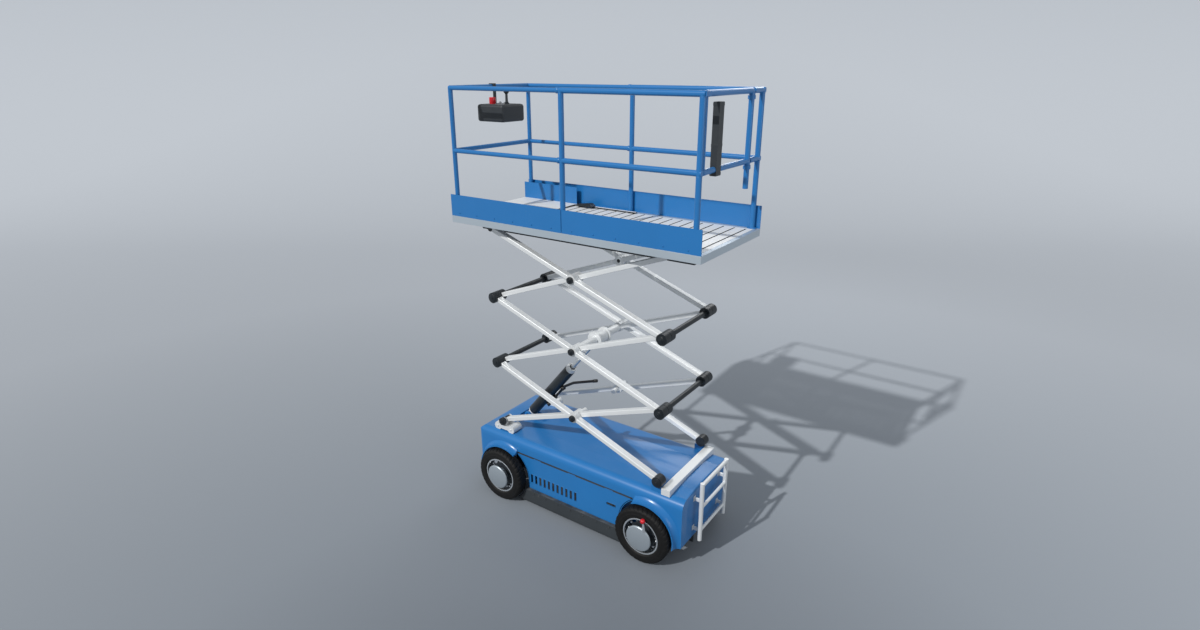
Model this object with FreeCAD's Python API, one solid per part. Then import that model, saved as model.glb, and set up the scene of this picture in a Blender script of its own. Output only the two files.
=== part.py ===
"""Self-propelled scissor lift: a blue chassis on four wheels, three levels of crossed arms
and a railed platform with a roll-out deck. It stands part raised, as it is parked for work.

Millimetres. X runs along the machine: the steered wheels are at -X and the ladder is at +X.
Y runs across it and Z is up. The origin is on the floor under the middle of the machine.
"""
import FreeCAD, Part
import math
import os

from FreeCAD import Vector

os.makedirs("parts", exist_ok=True)

# Overall layout
half_length = 1260.0
arm_length = 1925.0
rest_angle = 20.0
pivot_x = -900.0
pivot_z = 788.0

# Running clearances
pin_play = 0.4
seat_gap = 0.3
move_gap = 6.0

# Wheels and axles
wheel_x = half_length - 433
wheel_radius = 270.0
tyre_width = 120.0
track_y = 515.0
rim_radius = 178.0
tyre_shoulder = 24.0
spindle_r = 24.0
kingpin_y = 470.0
kingpin_r = 16.0
hub_end_y = 498.0
spindle_end_y = 540.0

# Body shell
body_rear_x = half_length - 90
body_front_x = -half_length + 48
body_half_width = 455.0
side_top_z = 600.0
shoulder_r = 83.0
crown_z = 702.0
shell_wall = 6.0
sill_z = 180.0
end_z = 220.0
front_round = 150.0
front_corner = 80.0
rear_round = 30.0
arch_r = 290.0
flare_out = 65.0
flare_edge = 9.0
flare_root = 44.0
front_well_y = 235.0
rear_well_y = 395.0

# Side doors
door_top_z = 525.0
door_front_x = -wheel_x + 157
door_rear_x = wheel_x - 134
door_gap = 5.0
hinge_gap = 9.0
hinge_r = 4.2
hinge_pin_r = 2.0
louvre_count = 11
louvre_first_x = door_front_x + 175.4
louvre_pitch = 53.4
louvre_width = 25.0
louvre_height = 95.0
louvre_z = 300.0
handle_x = door_rear_x - 246
handle_z = 380.0

# Chassis frame
rail_inner_y = 140.0
rail_outer_y = 220.0
rail_bottom_z = 180.0
axle_half = 45.0
rail_top_z = 330.0
rail_end_x = body_rear_x - 30
rail_end_member = 40.0
cross_member_xs = (-rail_end_x + rail_end_member, -560.0, 0.0, 560.0, rail_end_x - rail_end_member)
pan_half_length = 480.0
pan_half_width = body_half_width - 25
pan_thick = 12.0
guard_out_y = body_half_width + 35
guard_bottom_z = 30.0
guard_plate = 9.0
tower_half_width = 220.0
front_beam_y = body_half_width - 50
rear_beam_y = body_half_width - 25
tower_wall = 12.0
tower_top_z = 640.0
beam_low_z = 612.0

# Scissor arms
arm_depth = 42.0
arm_width = 60.0
outer_arm_y = 401.0
inner_arm_y = 335.0
arm_edge_r = 6.0
collar_r = 50.0
mid_boss_r = 46.0
top_boss_r = 30.0
pin_r = 18.0
rod_r = 24.0
mid_tube_r = 36.0
outer_face_y = 449.0
roller_r = 28.0
roller_y = (294.0, 252.0)
base_sleeve_r = 30.0

# Lift cylinder
cyl_base_x = -880.0
cyl_base_z = 705.0
barrel_r = 54.0
barrel_start = 80.0
barrel_end = 835.0
piston_depth = 240.0
cap_r = 50.0
cap_length = 47.0
well_front = 85.0
well_rear = 235.0
well_half_width = 78.0
well_floor_z = 650.5
rod_radius = 22.5
eye_r = 57.0
eye_half_width = 60.0
lug_plate_r = 75.0
hose_r = 13.0

# Worked out from the sizes above
rise = arm_length * math.sin(math.radians(rest_angle))
run = arm_length * math.cos(math.radians(rest_angle))
right_x = pivot_x + run
level_z = [pivot_z + k * rise for k in range(4)]
top_pivot_z = level_z[3]
mid_x = pivot_x + run / 2

# Platform
deck_bottom_z = top_pivot_z + 34.8
deck_top_z = deck_bottom_z + 61
deck_half_width = 540.0
cross_member_half = 20.0
cross_member_count = 9
end_member_inset = 157.5
frame_wall = 40.0
post_x = half_length - 62
post_y = deck_half_width - 28
tube_r = 22.0
top_rail_z = deck_top_z + 1100
mid_rail_z = deck_top_z + 576
toe_top_z = deck_top_z + 192
toe_thick = 6.0
slat_pitch = 99.3
slat_width = 86.3
slat_end_strip = 48.2
slat_depth = 24.0
slat_break_x = 92.0

# Roll-out extension
ext_lift = 5.0
ext_plate = 6.0
ext_flange = 4.0
ext_rear_x = -600.0
ext_half_width = post_y - 34
inner_tube_r = 18.8
ext_overlap_x = 720.0

# Gate at the ladder end
stile_y = post_y - 205
stile_bottom_z = mid_rail_z - 216
hinge_ring_r = 30.0

# Ladder
ladder_half_width = 237.0
ladder_tube_r = 20.0
rung_r = 15.0
ladder_top_z = 790.0
ladder_strap_half = 9.0
ladder_bottom_z = 210.0
rung_levels = (310.0, 545.0)


def box(x, y, z):
    """Block between the low and high value of each axis."""
    size = [max(pair) - min(pair) for pair in (x, y, z)]
    return Part.makeBox(size[0], size[1], size[2], Vector(min(x), min(y), min(z)))


def rod(start, end, radius):
    """Round bar from one point to another."""
    a = Vector(*start)
    b = Vector(*end)
    return Part.makeCylinder(radius, (b - a).Length, a, b - a)


def across(x, z, radius, y):
    """Round bar along Y between two values."""
    return rod((x, min(y), z), (x, max(y), z), radius)


def fuse(shapes):
    """One solid from several that touch or overlap."""
    whole = shapes[0]
    if len(shapes) > 1:
        whole = whole.multiFuse(shapes[1:])
    return whole.removeSplitter()


def mirror(shape):
    return shape.mirror(Vector(0, 0, 0), Vector(0, 1, 0))


def both_sides(shape):
    return [shape, mirror(shape)]


def polygon(points, plane, low, high):
    """Prism from an outline of (a, b) points; plane is xz, yz or xy."""
    place = {
        "xz": lambda a, b: Vector(a, low, b),
        "yz": lambda a, b: Vector(low, a, b),
        "xy": lambda a, b: Vector(a, b, low),
    }[plane]
    way = {"xz": Vector(0, 1, 0), "yz": Vector(1, 0, 0), "xy": Vector(0, 0, 1)}[plane]
    corners = [place(a, b) for a, b in points]
    wire = Part.makePolygon(corners + [corners[0]])
    return Part.Face(wire).extrude(way * (high - low))


def outline(parts, plane, low, high):
    """Prism from lines and arcs: each part is (start, end) or (start, through, end)."""
    place = {
        "xz": lambda a, b: Vector(a, low, b),
        "yz": lambda a, b: Vector(low, a, b),
        "xy": lambda a, b: Vector(a, b, low),
    }[plane]
    way = {"xz": Vector(0, 1, 0), "yz": Vector(1, 0, 0), "xy": Vector(0, 0, 1)}[plane]
    edges = []
    for part in parts:
        points = [place(a, b) for a, b in part]
        if len(points) == 2:
            edges.append(Part.LineSegment(*points).toShape())
        else:
            edges.append(Part.Arc(*points).toShape())
    return Part.Face(Part.Wire(edges)).extrude(way * (high - low))


def save(name, shapes):
    """Write one node; its solids don't touch each other."""
    solids = []
    for shape in shapes if isinstance(shapes, list) else [shapes]:
        solids.extend(shape.Solids)
    for solid in solids:
        if not solid.isValid():
            print("not valid:", name)
    whole = solids[0] if len(solids) == 1 else Part.makeCompound(solids)
    whole.exportStep("parts/" + name + ".step")


# Body shell
def body_solid(inset):
    """Closed outer form of the shell, or its inside when inset by the wall."""
    w = body_half_width - inset
    top = crown_z - inset
    r = shoulder_r - inset
    s = w - r
    shoulder = side_top_z + r
    low = 0.0
    diag = r * math.sqrt(0.5)
    section = outline(
        [
            ((-w, low), (-w, side_top_z)),
            ((-w, side_top_z), (-s - diag, side_top_z + diag), (-s, shoulder)),
            ((-s, shoulder), (0, top), (s, shoulder)),
            ((s, shoulder), (s + diag, side_top_z + diag), (w, side_top_z)),
            ((w, side_top_z), (w, low)),
            ((w, low), (-w, low)),
        ],
        "yz",
        body_front_x - 10,
        body_rear_x + 10,
    )
    e = body_rear_x - inset
    n = body_front_x + inset
    f = front_round - inset
    b = rear_round - inset
    hi = top + 30
    fd = f * math.sqrt(0.5)
    bd = b * math.sqrt(0.5)
    side = outline(
        [
            ((n, low), (n, top - f)),
            ((n, top - f), (n + f - fd, top - f + fd), (n + f, top)),
            ((n + f, top), (n + f, hi)),
            ((n + f, hi), (e - b, hi)),
            ((e - b, hi), (e - b, top)),
            ((e - b, top), (e - b + bd, top - b + bd), (e, top - b)),
            ((e, top - b), (e, low)),
            ((e, low), (n, low)),
        ],
        "xz",
        -body_half_width - 10,
        body_half_width + 10,
    )
    c = front_corner - inset
    cd = c * math.sqrt(0.5)
    plan = outline(
        [
            ((n + c, -w), (e, -w)),
            ((e, -w), (e, w)),
            ((e, w), (n + c, w)),
            ((n + c, w), (n + c - cd, w - c + cd), (n, w - c)),
            ((n, w - c), (n, -w + c)),
            ((n, -w + c), (n + c - cd, -w + c - cd), (n + c, -w)),
        ],
        "xy",
        low - 10,
        hi + 10,
    )
    return section.common(side).common(plan)


outer_body = body_solid(0.0)
inner_body = body_solid(shell_wall)

# Each wheel arch: centre x, the inner wall of its well and where its flare stops at the door
arches = [
    dict(x=-wheel_x, wall_y=front_well_y, flare=(-half_length, door_front_x - door_gap)),
    dict(x=wheel_x, wall_y=rear_well_y, flare=(door_rear_x + door_gap, half_length)),
]
hole_r = arch_r + shell_wall + seat_gap

# Pocket in the crown for the foot of the lift cylinder
well_x = (cyl_base_x - well_front, cyl_base_x + well_rear)
cylinder_well = box(well_x, (-well_half_width, well_half_width), (well_floor_z + 4, crown_z + 200))


def base_lugs(grow):
    """Two plates that hold the cylinder's base pin."""
    lugs = []
    for y in ((-50, -32), (32, 50)):
        band = (y[0] - grow, y[1] + grow)
        lugs.append(box((cyl_base_x - 42 - grow, cyl_base_x + 42 + grow), band, (tower_top_z - 20, cyl_base_z)))
        lugs.append(across(cyl_base_x, cyl_base_z, 42 + grow, band))
    return lugs


def door_outline(grow):
    """Door panel in side view: upright ends, scalloped round the two wheels."""
    top = door_top_z + (hinge_gap if grow else 0)
    panel = box((door_front_x - grow, door_rear_x + grow), (-body_half_width, -body_half_width + shell_wall),
                (sill_z + move_gap - grow, top))
    for arch in arches:
        reach = hole_r + door_gap - grow
        panel = panel.cut(across(arch["x"], wheel_radius, reach, (-body_half_width - 50, 0)))
    return panel


def pocket():
    """Walls and floor of the cylinder's pocket, open where its lugs come through."""
    wall = 4.0
    outer = box((well_x[0] - wall, well_x[1] + wall), (-well_half_width - wall, well_half_width + wall),
                (well_floor_z, crown_z + 100)).common(outer_body)
    outer = outer.cut(cylinder_well)
    for lug in base_lugs(2.0):
        outer = outer.cut(lug)
    return outer


def body_shell():
    shell = outer_body.cut(inner_body).fuse(pocket())
    for arch in arches:
        hole = across(arch["x"], wheel_radius, hole_r, (-body_half_width - 10, -arch["wall_y"] - 20))
        shell = shell.cut(hole).cut(mirror(hole))
    shell = shell.cut(door_opening).cut(mirror(door_opening))
    shell = shell.cut(box((-2000, 2000), (-1000, 1000), (-50, sill_z)))
    for sign in (-1, 1):
        end = box((sign * wheel_x, sign * 2000), (-1000, 1000), (0, end_z))
        shell = shell.cut(end)
    shell = shell.cut(cylinder_well)
    for leaf in hinge_leaves(1):
        shell = shell.fuse(leaf).fuse(mirror(leaf))
    return shell.removeSplitter()


def flare():
    """Pressed wheel arch lip, turned about the wheel's axle at x = 0, z = 0."""
    side = -body_half_width - seat_gap
    edge = -body_half_width - flare_out
    corners = [(arch_r, side), (arch_r, edge), (arch_r + flare_edge, edge)]
    hollow = (arch_r + flare_root * 0.42, edge + flare_out * 0.62)
    root = (arch_r + flare_root, side)
    points = [Vector(r, y, 0) for r, y in corners]
    edges = [Part.LineSegment(a, b).toShape() for a, b in zip(points, points[1:])]
    edges.append(Part.Arc(points[-1], Vector(hollow[0], hollow[1], 0), Vector(root[0], root[1], 0)).toShape())
    edges.append(Part.LineSegment(Vector(root[0], root[1], 0), points[0]).toShape())
    return Part.Face(Part.Wire(edges)).revolve(Vector(0, 0, 0), Vector(0, 1, 0), 360)


def wheel_arch(arch):
    """Liner of one near-side wheel well with its flare."""
    ring = across(arch["x"], wheel_radius, arch_r + shell_wall,
                  (-body_half_width - 1, -arch["wall_y"] + shell_wall))
    ring = ring.cut(across(arch["x"], wheel_radius, arch_r, (-body_half_width - 10, -arch["wall_y"])))
    lip = flare()
    lip.translate(Vector(arch["x"], 0, wheel_radius))
    lip = lip.common(box(arch["flare"], (-body_half_width - 2 * flare_out, 0), (0, 900)))
    beside_door = box(arch["flare"], (-body_half_width - 2, 0), (0, 900))
    ring = ring.cut(box((-2000, 2000), (-body_half_width - 2, -body_half_width), (0, 900)).cut(beside_door))
    axle_port = box((arch["x"] - 62, arch["x"] + 62), (-arch["wall_y"] - 20, -arch["wall_y"] + 20),
                    (0, wheel_radius + 62))
    floor = box((-2000, 2000), (-1000, 10), (-100, end_z))
    return ring.fuse(lip).cut(axle_port).cut(floor).removeSplitter()


# Door hinges: three along the gap over the door, each a door knuckle between two shell knuckles
hinge_y = -body_half_width + 3.5
hinge_z = door_top_z + hinge_gap / 2
hinge_xs = (-420.0, 0.0, 420.0)
knuckle_length = 30.0


def hinge_leaves(side):
    """Knuckles of the shell (side 1, with the pin) or of the door (side -1)."""
    leaves = []
    for x in hinge_xs:
        pin = rod((x - 1.5 * knuckle_length, hinge_y, hinge_z), (x + 1.5 * knuckle_length, hinge_y, hinge_z),
                  hinge_pin_r)
        spans = ((x - 1.5 * knuckle_length, x - knuckle_length / 2 - 0.5),
                 (x + knuckle_length / 2 + 0.5, x + 1.5 * knuckle_length))
        if side < 0:
            spans = ((x - knuckle_length / 2, x + knuckle_length / 2),)
        for a, b in spans:
            barrel = rod((a, hinge_y, hinge_z), (b, hinge_y, hinge_z), hinge_r)
            tail = box((a, b), (hinge_y - 2, hinge_y + 2), (hinge_z, hinge_z + side * (hinge_gap / 2 + 3)))
            leaf = barrel.fuse(tail)
            if side < 0:
                leaf = leaf.cut(rod((a - 1, hinge_y, hinge_z), (b + 1, hinge_y, hinge_z), hinge_pin_r + 0.1))
            leaves.append(leaf)
        if side > 0:
            leaves.append(pin)
    return leaves


door_opening = door_outline(door_gap)
save("body_shell", body_shell())
save("wheel_arches", [side for arch in arches for side in both_sides(wheel_arch(arch))])


# Side doors with a row of upright louvre slots and a handle pocket
def door(side):
    panel = door_outline(0.0)
    for k in range(louvre_count):
        x = louvre_first_x + k * louvre_pitch
        slot = box((x - louvre_width / 2, x + louvre_width / 2), (-body_half_width - 5, -body_half_width + 20),
                   (louvre_z - louvre_height / 2, louvre_z + louvre_height / 2))
        panel = panel.cut(slot)
    pocket = box((handle_x - 50, handle_x + 50), (-body_half_width - 5, -body_half_width + 20),
                 (handle_z - 14, handle_z + 14))
    tray = box((handle_x - 54, handle_x + 54), (-body_half_width + shell_wall, -body_half_width + 22),
               (handle_z - 18, handle_z + 18))
    tray = tray.cut(box((handle_x - 50, handle_x + 50), (-body_half_width, -body_half_width + 18),
                        (handle_z - 14, handle_z + 14)))
    stiffener = box((-460, 460), (-body_half_width + shell_wall, -body_half_width + 20),
                    (door_top_z - 36, door_top_z - 6))
    panel = fuse([panel.cut(pocket), tray, stiffener] + hinge_leaves(-1))
    return panel if side < 0 else mirror(panel)


save("door_left", door(-1))
save("door_right", door(1))


# Chassis frame: two long rails, cross members, floor pan and tie-down lugs
def chassis_frame():
    rail = box((-rail_end_x, rail_end_x), (-rail_outer_y, -rail_inner_y), (rail_bottom_z, rail_top_z))
    parts = both_sides(rail)
    for x in cross_member_xs:
        parts.append(box((x - 30, x + 30), (-rail_inner_y, rail_inner_y), (rail_bottom_z, rail_top_z - 30)))
    parts.append(box((-pan_half_length, pan_half_length), (-pan_half_width, pan_half_width),
                     (rail_bottom_z, rail_bottom_z + pan_thick)))
    for sign in (-1, 1):
        lug = box((sign * (rail_end_x - 55), sign * (rail_end_x + 15)), (-188, -172), (115, rail_bottom_z))
        parts += both_sides(lug)
    frame = fuse(parts)
    for sign in (-1, 1):
        frame = frame.cut(across(sign * (rail_end_x - 18), 148, 16, (-300, 300)))
    beam_slot = box((-wheel_x - axle_half, -wheel_x + axle_half), (-300, 300),
                    (wheel_radius - axle_half, wheel_radius + axle_half))
    return frame.cut(beam_slot).cut(across(wheel_x, wheel_radius, axle_half, (-300, 300)))


save("chassis_frame", chassis_frame())


# Box towers and cross beams that carry the arms, with the lugs of the lift cylinder
def tower(x):
    outer = box(x, (-tower_half_width, tower_half_width), (rail_top_z + seat_gap, tower_top_z))
    inner = box((x[0] + tower_wall, x[1] - tower_wall),
                (-tower_half_width + tower_wall, tower_half_width - tower_wall),
                (rail_top_z - 20, tower_top_z - tower_wall))
    return outer.cut(inner)


def arm_towers():
    beam_z = (beam_low_z, crown_z + 18)
    front_beam = box((pivot_x - 60, pivot_x + 60), (-front_beam_y, front_beam_y), beam_z).common(inner_body)
    rear_beam = box((right_x - 144, right_x + 166), (-rear_beam_y, rear_beam_y), beam_z).common(inner_body)
    room = box((well_x[0] - 10, well_x[1] + 10), (-well_half_width - 5, well_half_width + 5),
               (well_floor_z - 0.5, crown_z + 200))
    front = fuse([tower((pivot_x - 50, pivot_x + 85)), front_beam.cut(room)] + base_lugs(0.0))
    front = front.cut(across(cyl_base_x, cyl_base_z, pin_r, (-60, 60)))
    rear = fuse([tower((right_x - 29, right_x + 141)), rear_beam])
    return [front, rear]


save("arm_towers", arm_towers())

cylinder_pin = across(cyl_base_x, cyl_base_z, pin_r, (-54, 54))

# Dark guards low between the wheels, hung under the pan and cut round the tyres
guard_section = [(-guard_out_y, guard_bottom_z + 14), (-guard_out_y + 10, guard_bottom_z),
                 (-guard_out_y + 42, guard_bottom_z), (-guard_out_y + 42, guard_bottom_z + guard_plate),
                 (-guard_out_y + 14, guard_bottom_z + guard_plate), (-guard_out_y + guard_plate, guard_bottom_z + 18),
                 (-guard_out_y + guard_plate, sill_z - guard_plate), (-pan_half_width + 25, sill_z - guard_plate),
                 (-pan_half_width + 25, sill_z - seat_gap), (-guard_out_y, sill_z - seat_gap)]
guard = polygon(guard_section, "yz", -wheel_x, wheel_x)
for arch in arches:
    guard = guard.cut(across(arch["x"], wheel_radius, arch_r, (-guard_out_y - 10, 0)))
save("pothole_guards", both_sides(guard))

# Front pivot brackets: two cheeks on a saddle with rounded toes, seated on the shell over the beam
lug_bands = ((inner_arm_y - arm_width / 2 - 19, inner_arm_y - arm_width / 2 - 5),
             (inner_arm_y + arm_width / 2 + 5, inner_arm_y + arm_width / 2 + 19))
toe_r = 42.0
toe_z = pivot_z - 73
toe_xs = (pivot_x - 74, pivot_x + 96)
saddle_y = (-lug_bands[1][1] - 14, -lug_bands[0][0] + 8)
parts = [box(toe_xs, saddle_y, (toe_z - 20, toe_z + 26))]
for x in toe_xs:
    parts.append(across(x, toe_z, toe_r, saddle_y))
for band in lug_bands:
    parts.append(across(pivot_x, pivot_z, 30, (-band[1], -band[0])))
    parts.append(box((pivot_x - 30, pivot_x + 30), (-band[1], -band[0]), (toe_z, pivot_z)))
bracket = fuse(parts).cut(outer_body).cut(across(pivot_x, pivot_z, pin_r, (-450, -200)))
save("pivot_brackets", both_sides(bracket))
base_pin = across(pivot_x, pivot_z, pin_r, (-lug_bands[1][1] - 20, -lug_bands[0][0] + 6))
pin_head = across(pivot_x, pivot_z, 38, (-lug_bands[1][1] - 34, -lug_bands[1][1] - seat_gap))
save("base_pins", both_sides(fuse([base_pin, pin_head])) + [cylinder_pin])

# Rear cross-beam and the slim tracks before it, both under the base rollers
track_top_z = pivot_z - collar_r - seat_gap
beam_x = (right_x + 36, right_x + 121)
beam_box = box(beam_x, (-rear_beam_y, rear_beam_y), (675, track_top_z))
save("cross_beam", beam_box.cut(outer_body))
track = box((right_x - 68, beam_x[0] - seat_gap), (-416, -392), (tower_top_z, track_top_z)).cut(outer_body)
save("roller_tracks", both_sides(track))

# Battery pack and hydraulic unit behind the doors
pan_top = rail_bottom_z + pan_thick
battery_parts = []
for x in (-450, -140, 170):
    cell = box((x, x + 300), (-body_half_width + 45, -rail_outer_y - 12), (pan_top, pan_top + 275))
    battery_parts.append(cell)
save("battery_block", battery_parts)
unit_y = (rail_outer_y + 15, body_half_width - 50)
unit_mid = (unit_y[0] + unit_y[1]) / 2
tank = box((-440, -60), unit_y, (pan_top, pan_top + 240))
motor = rod((-20, unit_mid, pan_top + 110), (250, unit_mid, pan_top + 110), 75)
motor_foot = box((20, 210), (unit_mid - 55, unit_mid + 55), (pan_top, pan_top + 60))
valve = box((-60, -20), (unit_mid - 50, unit_mid + 50), (pan_top, pan_top + 180))
save("hydraulic_unit", fuse([tank, valve, motor, motor_foot]))

# Axles
rear_parts = [across(wheel_x, wheel_radius, axle_half, (-rear_well_y - 10, rear_well_y + 10))]
for y in (-1, 1):
    rear_parts.append(across(wheel_x, wheel_radius, 95, (y * (rear_well_y + seat_gap), y * 422)))
    rear_parts.append(across(wheel_x, wheel_radius, 80, (y * 420, y * hub_end_y)))
    rear_parts.append(across(wheel_x, wheel_radius, spindle_r, (y * hub_end_y, y * spindle_end_y)))
save("rear_axle", fuse(rear_parts))

fork_top = 385.0
fork_low = 155.0
knuckle_half = 88.0
fork_gap = 3.0
half_beam = box((-wheel_x - axle_half, -wheel_x + axle_half), (-kingpin_y + 88, 0),
                (wheel_radius - axle_half, wheel_radius + axle_half))
cheek = box((-wheel_x - 40, -wheel_x + 40), (-kingpin_y + 38, -kingpin_y + 100), (fork_low, fork_top))
front_parts = [half_beam, cheek]
for z in ((fork_low, wheel_radius - knuckle_half - fork_gap),
          (wheel_radius + knuckle_half + fork_gap, fork_top)):
    ear = box((-wheel_x - 34, -wheel_x + 34), (-kingpin_y, -kingpin_y + 80), z)
    tip = rod((-wheel_x, -kingpin_y, z[0]), (-wheel_x, -kingpin_y, z[1]), 34)
    front_parts += [ear, tip]
kingpin = rod((-wheel_x, -kingpin_y, fork_low - 6), (-wheel_x, -kingpin_y, fork_top + 6), kingpin_r)
front_half = fuse(front_parts).fuse(kingpin).removeSplitter()
save("front_axle", front_half.fuse(mirror(front_half)).removeSplitter())


def knuckle():
    barrel = rod((-wheel_x, -kingpin_y, wheel_radius - knuckle_half),
                 (-wheel_x, -kingpin_y, wheel_radius + knuckle_half), 28)
    hub = across(-wheel_x, wheel_radius, 44, (-hub_end_y, -kingpin_y))
    spindle = across(-wheel_x, wheel_radius, spindle_r, (-spindle_end_y, -kingpin_y))
    whole = fuse([barrel, hub, spindle])
    bore = rod((-wheel_x, -kingpin_y, 100), (-wheel_x, -kingpin_y, 450), kingpin_r + pin_play)
    return whole.cut(bore)


save("knuckle_left", knuckle())
save("knuckle_right", mirror(knuckle()))


# Wheels, turned about the axle line at x = 0, z = 0 and then placed
def revolve(points):
    """Solid of revolution about the Y axis from (radius, y) points."""
    corners = [Vector(r, y, 0) for r, y in points]
    wire = Part.makePolygon(corners + [corners[0]])
    return Part.Face(wire).revolve(Vector(0, 0, 0), Vector(0, 1, 0), 360)


def tyre():
    half = tyre_width / 2
    r = tyre_shoulder
    d = r * math.sqrt(0.5)
    edges = []
    runs = [
        ((rim_radius, -half + 14), (rim_radius + 14, -half), (wheel_radius - r, -half)),
        ((wheel_radius - r, -half), (wheel_radius - r + d, -half + r - d), (wheel_radius, -half + r)),
        ((wheel_radius, -half + r), (wheel_radius, half - r)),
        ((wheel_radius, half - r), (wheel_radius - r + d, half - r + d), (wheel_radius - r, half)),
        ((wheel_radius - r, half), (rim_radius + 14, half), (rim_radius, half - 14)),
        ((rim_radius, half - 14), (rim_radius, -half + 14)),
    ]
    for index, part in enumerate(runs):
        points = [Vector(a, b, 0) for a, b in part]
        if index in (1, 3):
            edges.append(Part.Arc(*points).toShape())
        else:
            for a, b in zip(points, points[1:]):
                edges.append(Part.LineSegment(a, b).toShape())
    return Part.Face(Part.Wire(edges)).revolve(Vector(0, 0, 0), Vector(0, 1, 0), 360)


def rim(brake_knob):
    """Pressed rim with windows and a large hub disc. The outside faces -Y."""
    half = tyre_width / 2
    seat = rim_radius - seat_gap
    barrel = revolve([(seat, -half - 2), (seat, half - 12), (seat - 8, half - 12), (seat - 8, -half + 14),
                      (seat - 16, -half + 6), (seat - 16, -half - 2)])
    web = revolve([(spindle_r + 8, -half + 26), (seat - 4, -half + 26), (seat - 4, -half + 36),
                   (spindle_r + 8, -half + 36)])
    window_count = 12
    for k in range(window_count):
        turn = 360.0 / window_count * k
        window = box((121, 153), (-half + 10, -half + 50), (-22, 22))
        window.rotate(Vector(0, 0, 0), Vector(0, 1, 0), turn)
        web = web.cut(window)
    disc = revolve([(0, -half - 18), (104, -half - 18), (113, -half - 8), (113, -half + 27), (0, -half + 27)])
    boss = revolve([(0, -half + 26), (60, -half + 26), (60, -8), (0, -8)])
    bore = revolve([(0, -half + 28), (spindle_r + pin_play, -half + 28),
                    (spindle_r + pin_play, half), (0, half)])
    whole = fuse([barrel, web, disc, boss])
    if brake_knob:
        stem = rod((52, -half - 20, 84), (50, -half - 26, 186), 10)
        knob = Part.makeSphere(23, Vector(44, -half - 26, 200))
        whole = fuse([whole, stem, knob])
    return whole.cut(bore)


wheels = [
    dict(name="front_left", x=-wheel_x, side=-1, knob=False),
    dict(name="front_right", x=-wheel_x, side=1, knob=False),
    dict(name="rear_left", x=wheel_x, side=-1, knob=True),
    dict(name="rear_right", x=wheel_x, side=1, knob=True),
]
for wheel in wheels:
    for name, shape in (("tyre_", tyre()), ("rim_", rim(wheel["knob"]))):
        if wheel["side"] > 0:
            shape = mirror(shape)
        shape.translate(Vector(wheel["x"], wheel["side"] * track_y, wheel_radius))
        save(name + wheel["name"], shape)

# Ladder on the rear face
ladder_x = half_length - ladder_tube_r
ladder_parts = []
for y in (-ladder_half_width, ladder_half_width):
    ladder_parts.append(rod((ladder_x, y, ladder_bottom_z), (ladder_x, y, ladder_top_z), ladder_tube_r))
    for z in (ladder_bottom_z + 90, ladder_top_z - 190):
        brace_y = (y - ladder_strap_half, y + ladder_strap_half)
        ladder_parts.append(box((body_rear_x, ladder_x), brace_y, (z, z + 26)))
for z in rung_levels:
    ladder_parts.append(across(ladder_x, z, rung_r, (-ladder_half_width, ladder_half_width)))
ladder_parts.append(across(ladder_x, ladder_top_z - ladder_tube_r, ladder_tube_r - 2,
                           (-ladder_half_width, ladder_half_width)))
save("ladder", fuse(ladder_parts))


# Scissor arms, each built flat along X from its lower pivot and then tilted
def tilt(shape, start, rising):
    """Turn a flat arm to its rest angle and set its lower pivot at start."""
    shape = shape.copy()
    if rising:
        shape.rotate(Vector(0, 0, 0), Vector(0, -1, 0), rest_angle)
    else:
        shape.rotate(Vector(0, 0, 0), Vector(0, -1, 0), 180 - rest_angle)
    shape.translate(Vector(start[0], 0, start[1]))
    return shape


def arm_bar(y, low_end_r, top_end_r, mid_hole):
    """Box-section arm on the near side, with round bosses where it is pinned."""
    low = y - arm_width / 2
    high = y + arm_width / 2
    bar = box((0, arm_length), (-high, -low), (-arm_depth / 2, arm_depth / 2))
    for sy in (-high, -low):
        for sz in (-arm_depth / 2, arm_depth / 2):
            centre = (sy + math.copysign(arm_edge_r, -sy - y), sz - math.copysign(arm_edge_r, sz))
            keep = rod((-5, centre[0], centre[1]), (arm_length + 5, centre[0], centre[1]), arm_edge_r)
            corner = box((-5, arm_length + 5), (sy, centre[0]), (sz, centre[1]))
            bar = bar.cut(corner.cut(keep))
    boss = across(arm_length / 2, 0, mid_boss_r, (-high, -low))
    bar = bar.fuse(boss)
    for x, radius in ((0, low_end_r), (arm_length, top_end_r)):
        bar = bar.cut(across(x, 0, radius, (-high - 5, -low + 5)))
        bar = bar.cut(box((x, x + math.copysign(200, x - 1)), (-high - 5, -low + 5), (-100, 100)))
    return bar.cut(across(arm_length / 2, 0, mid_hole, (-high - 5, -low + 5))).removeSplitter()


inner_low = inner_arm_y - arm_width / 2 - 3
inner_high = inner_arm_y + arm_width / 2 + 1
outer_low = outer_arm_y - arm_width / 2 - 1

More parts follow.
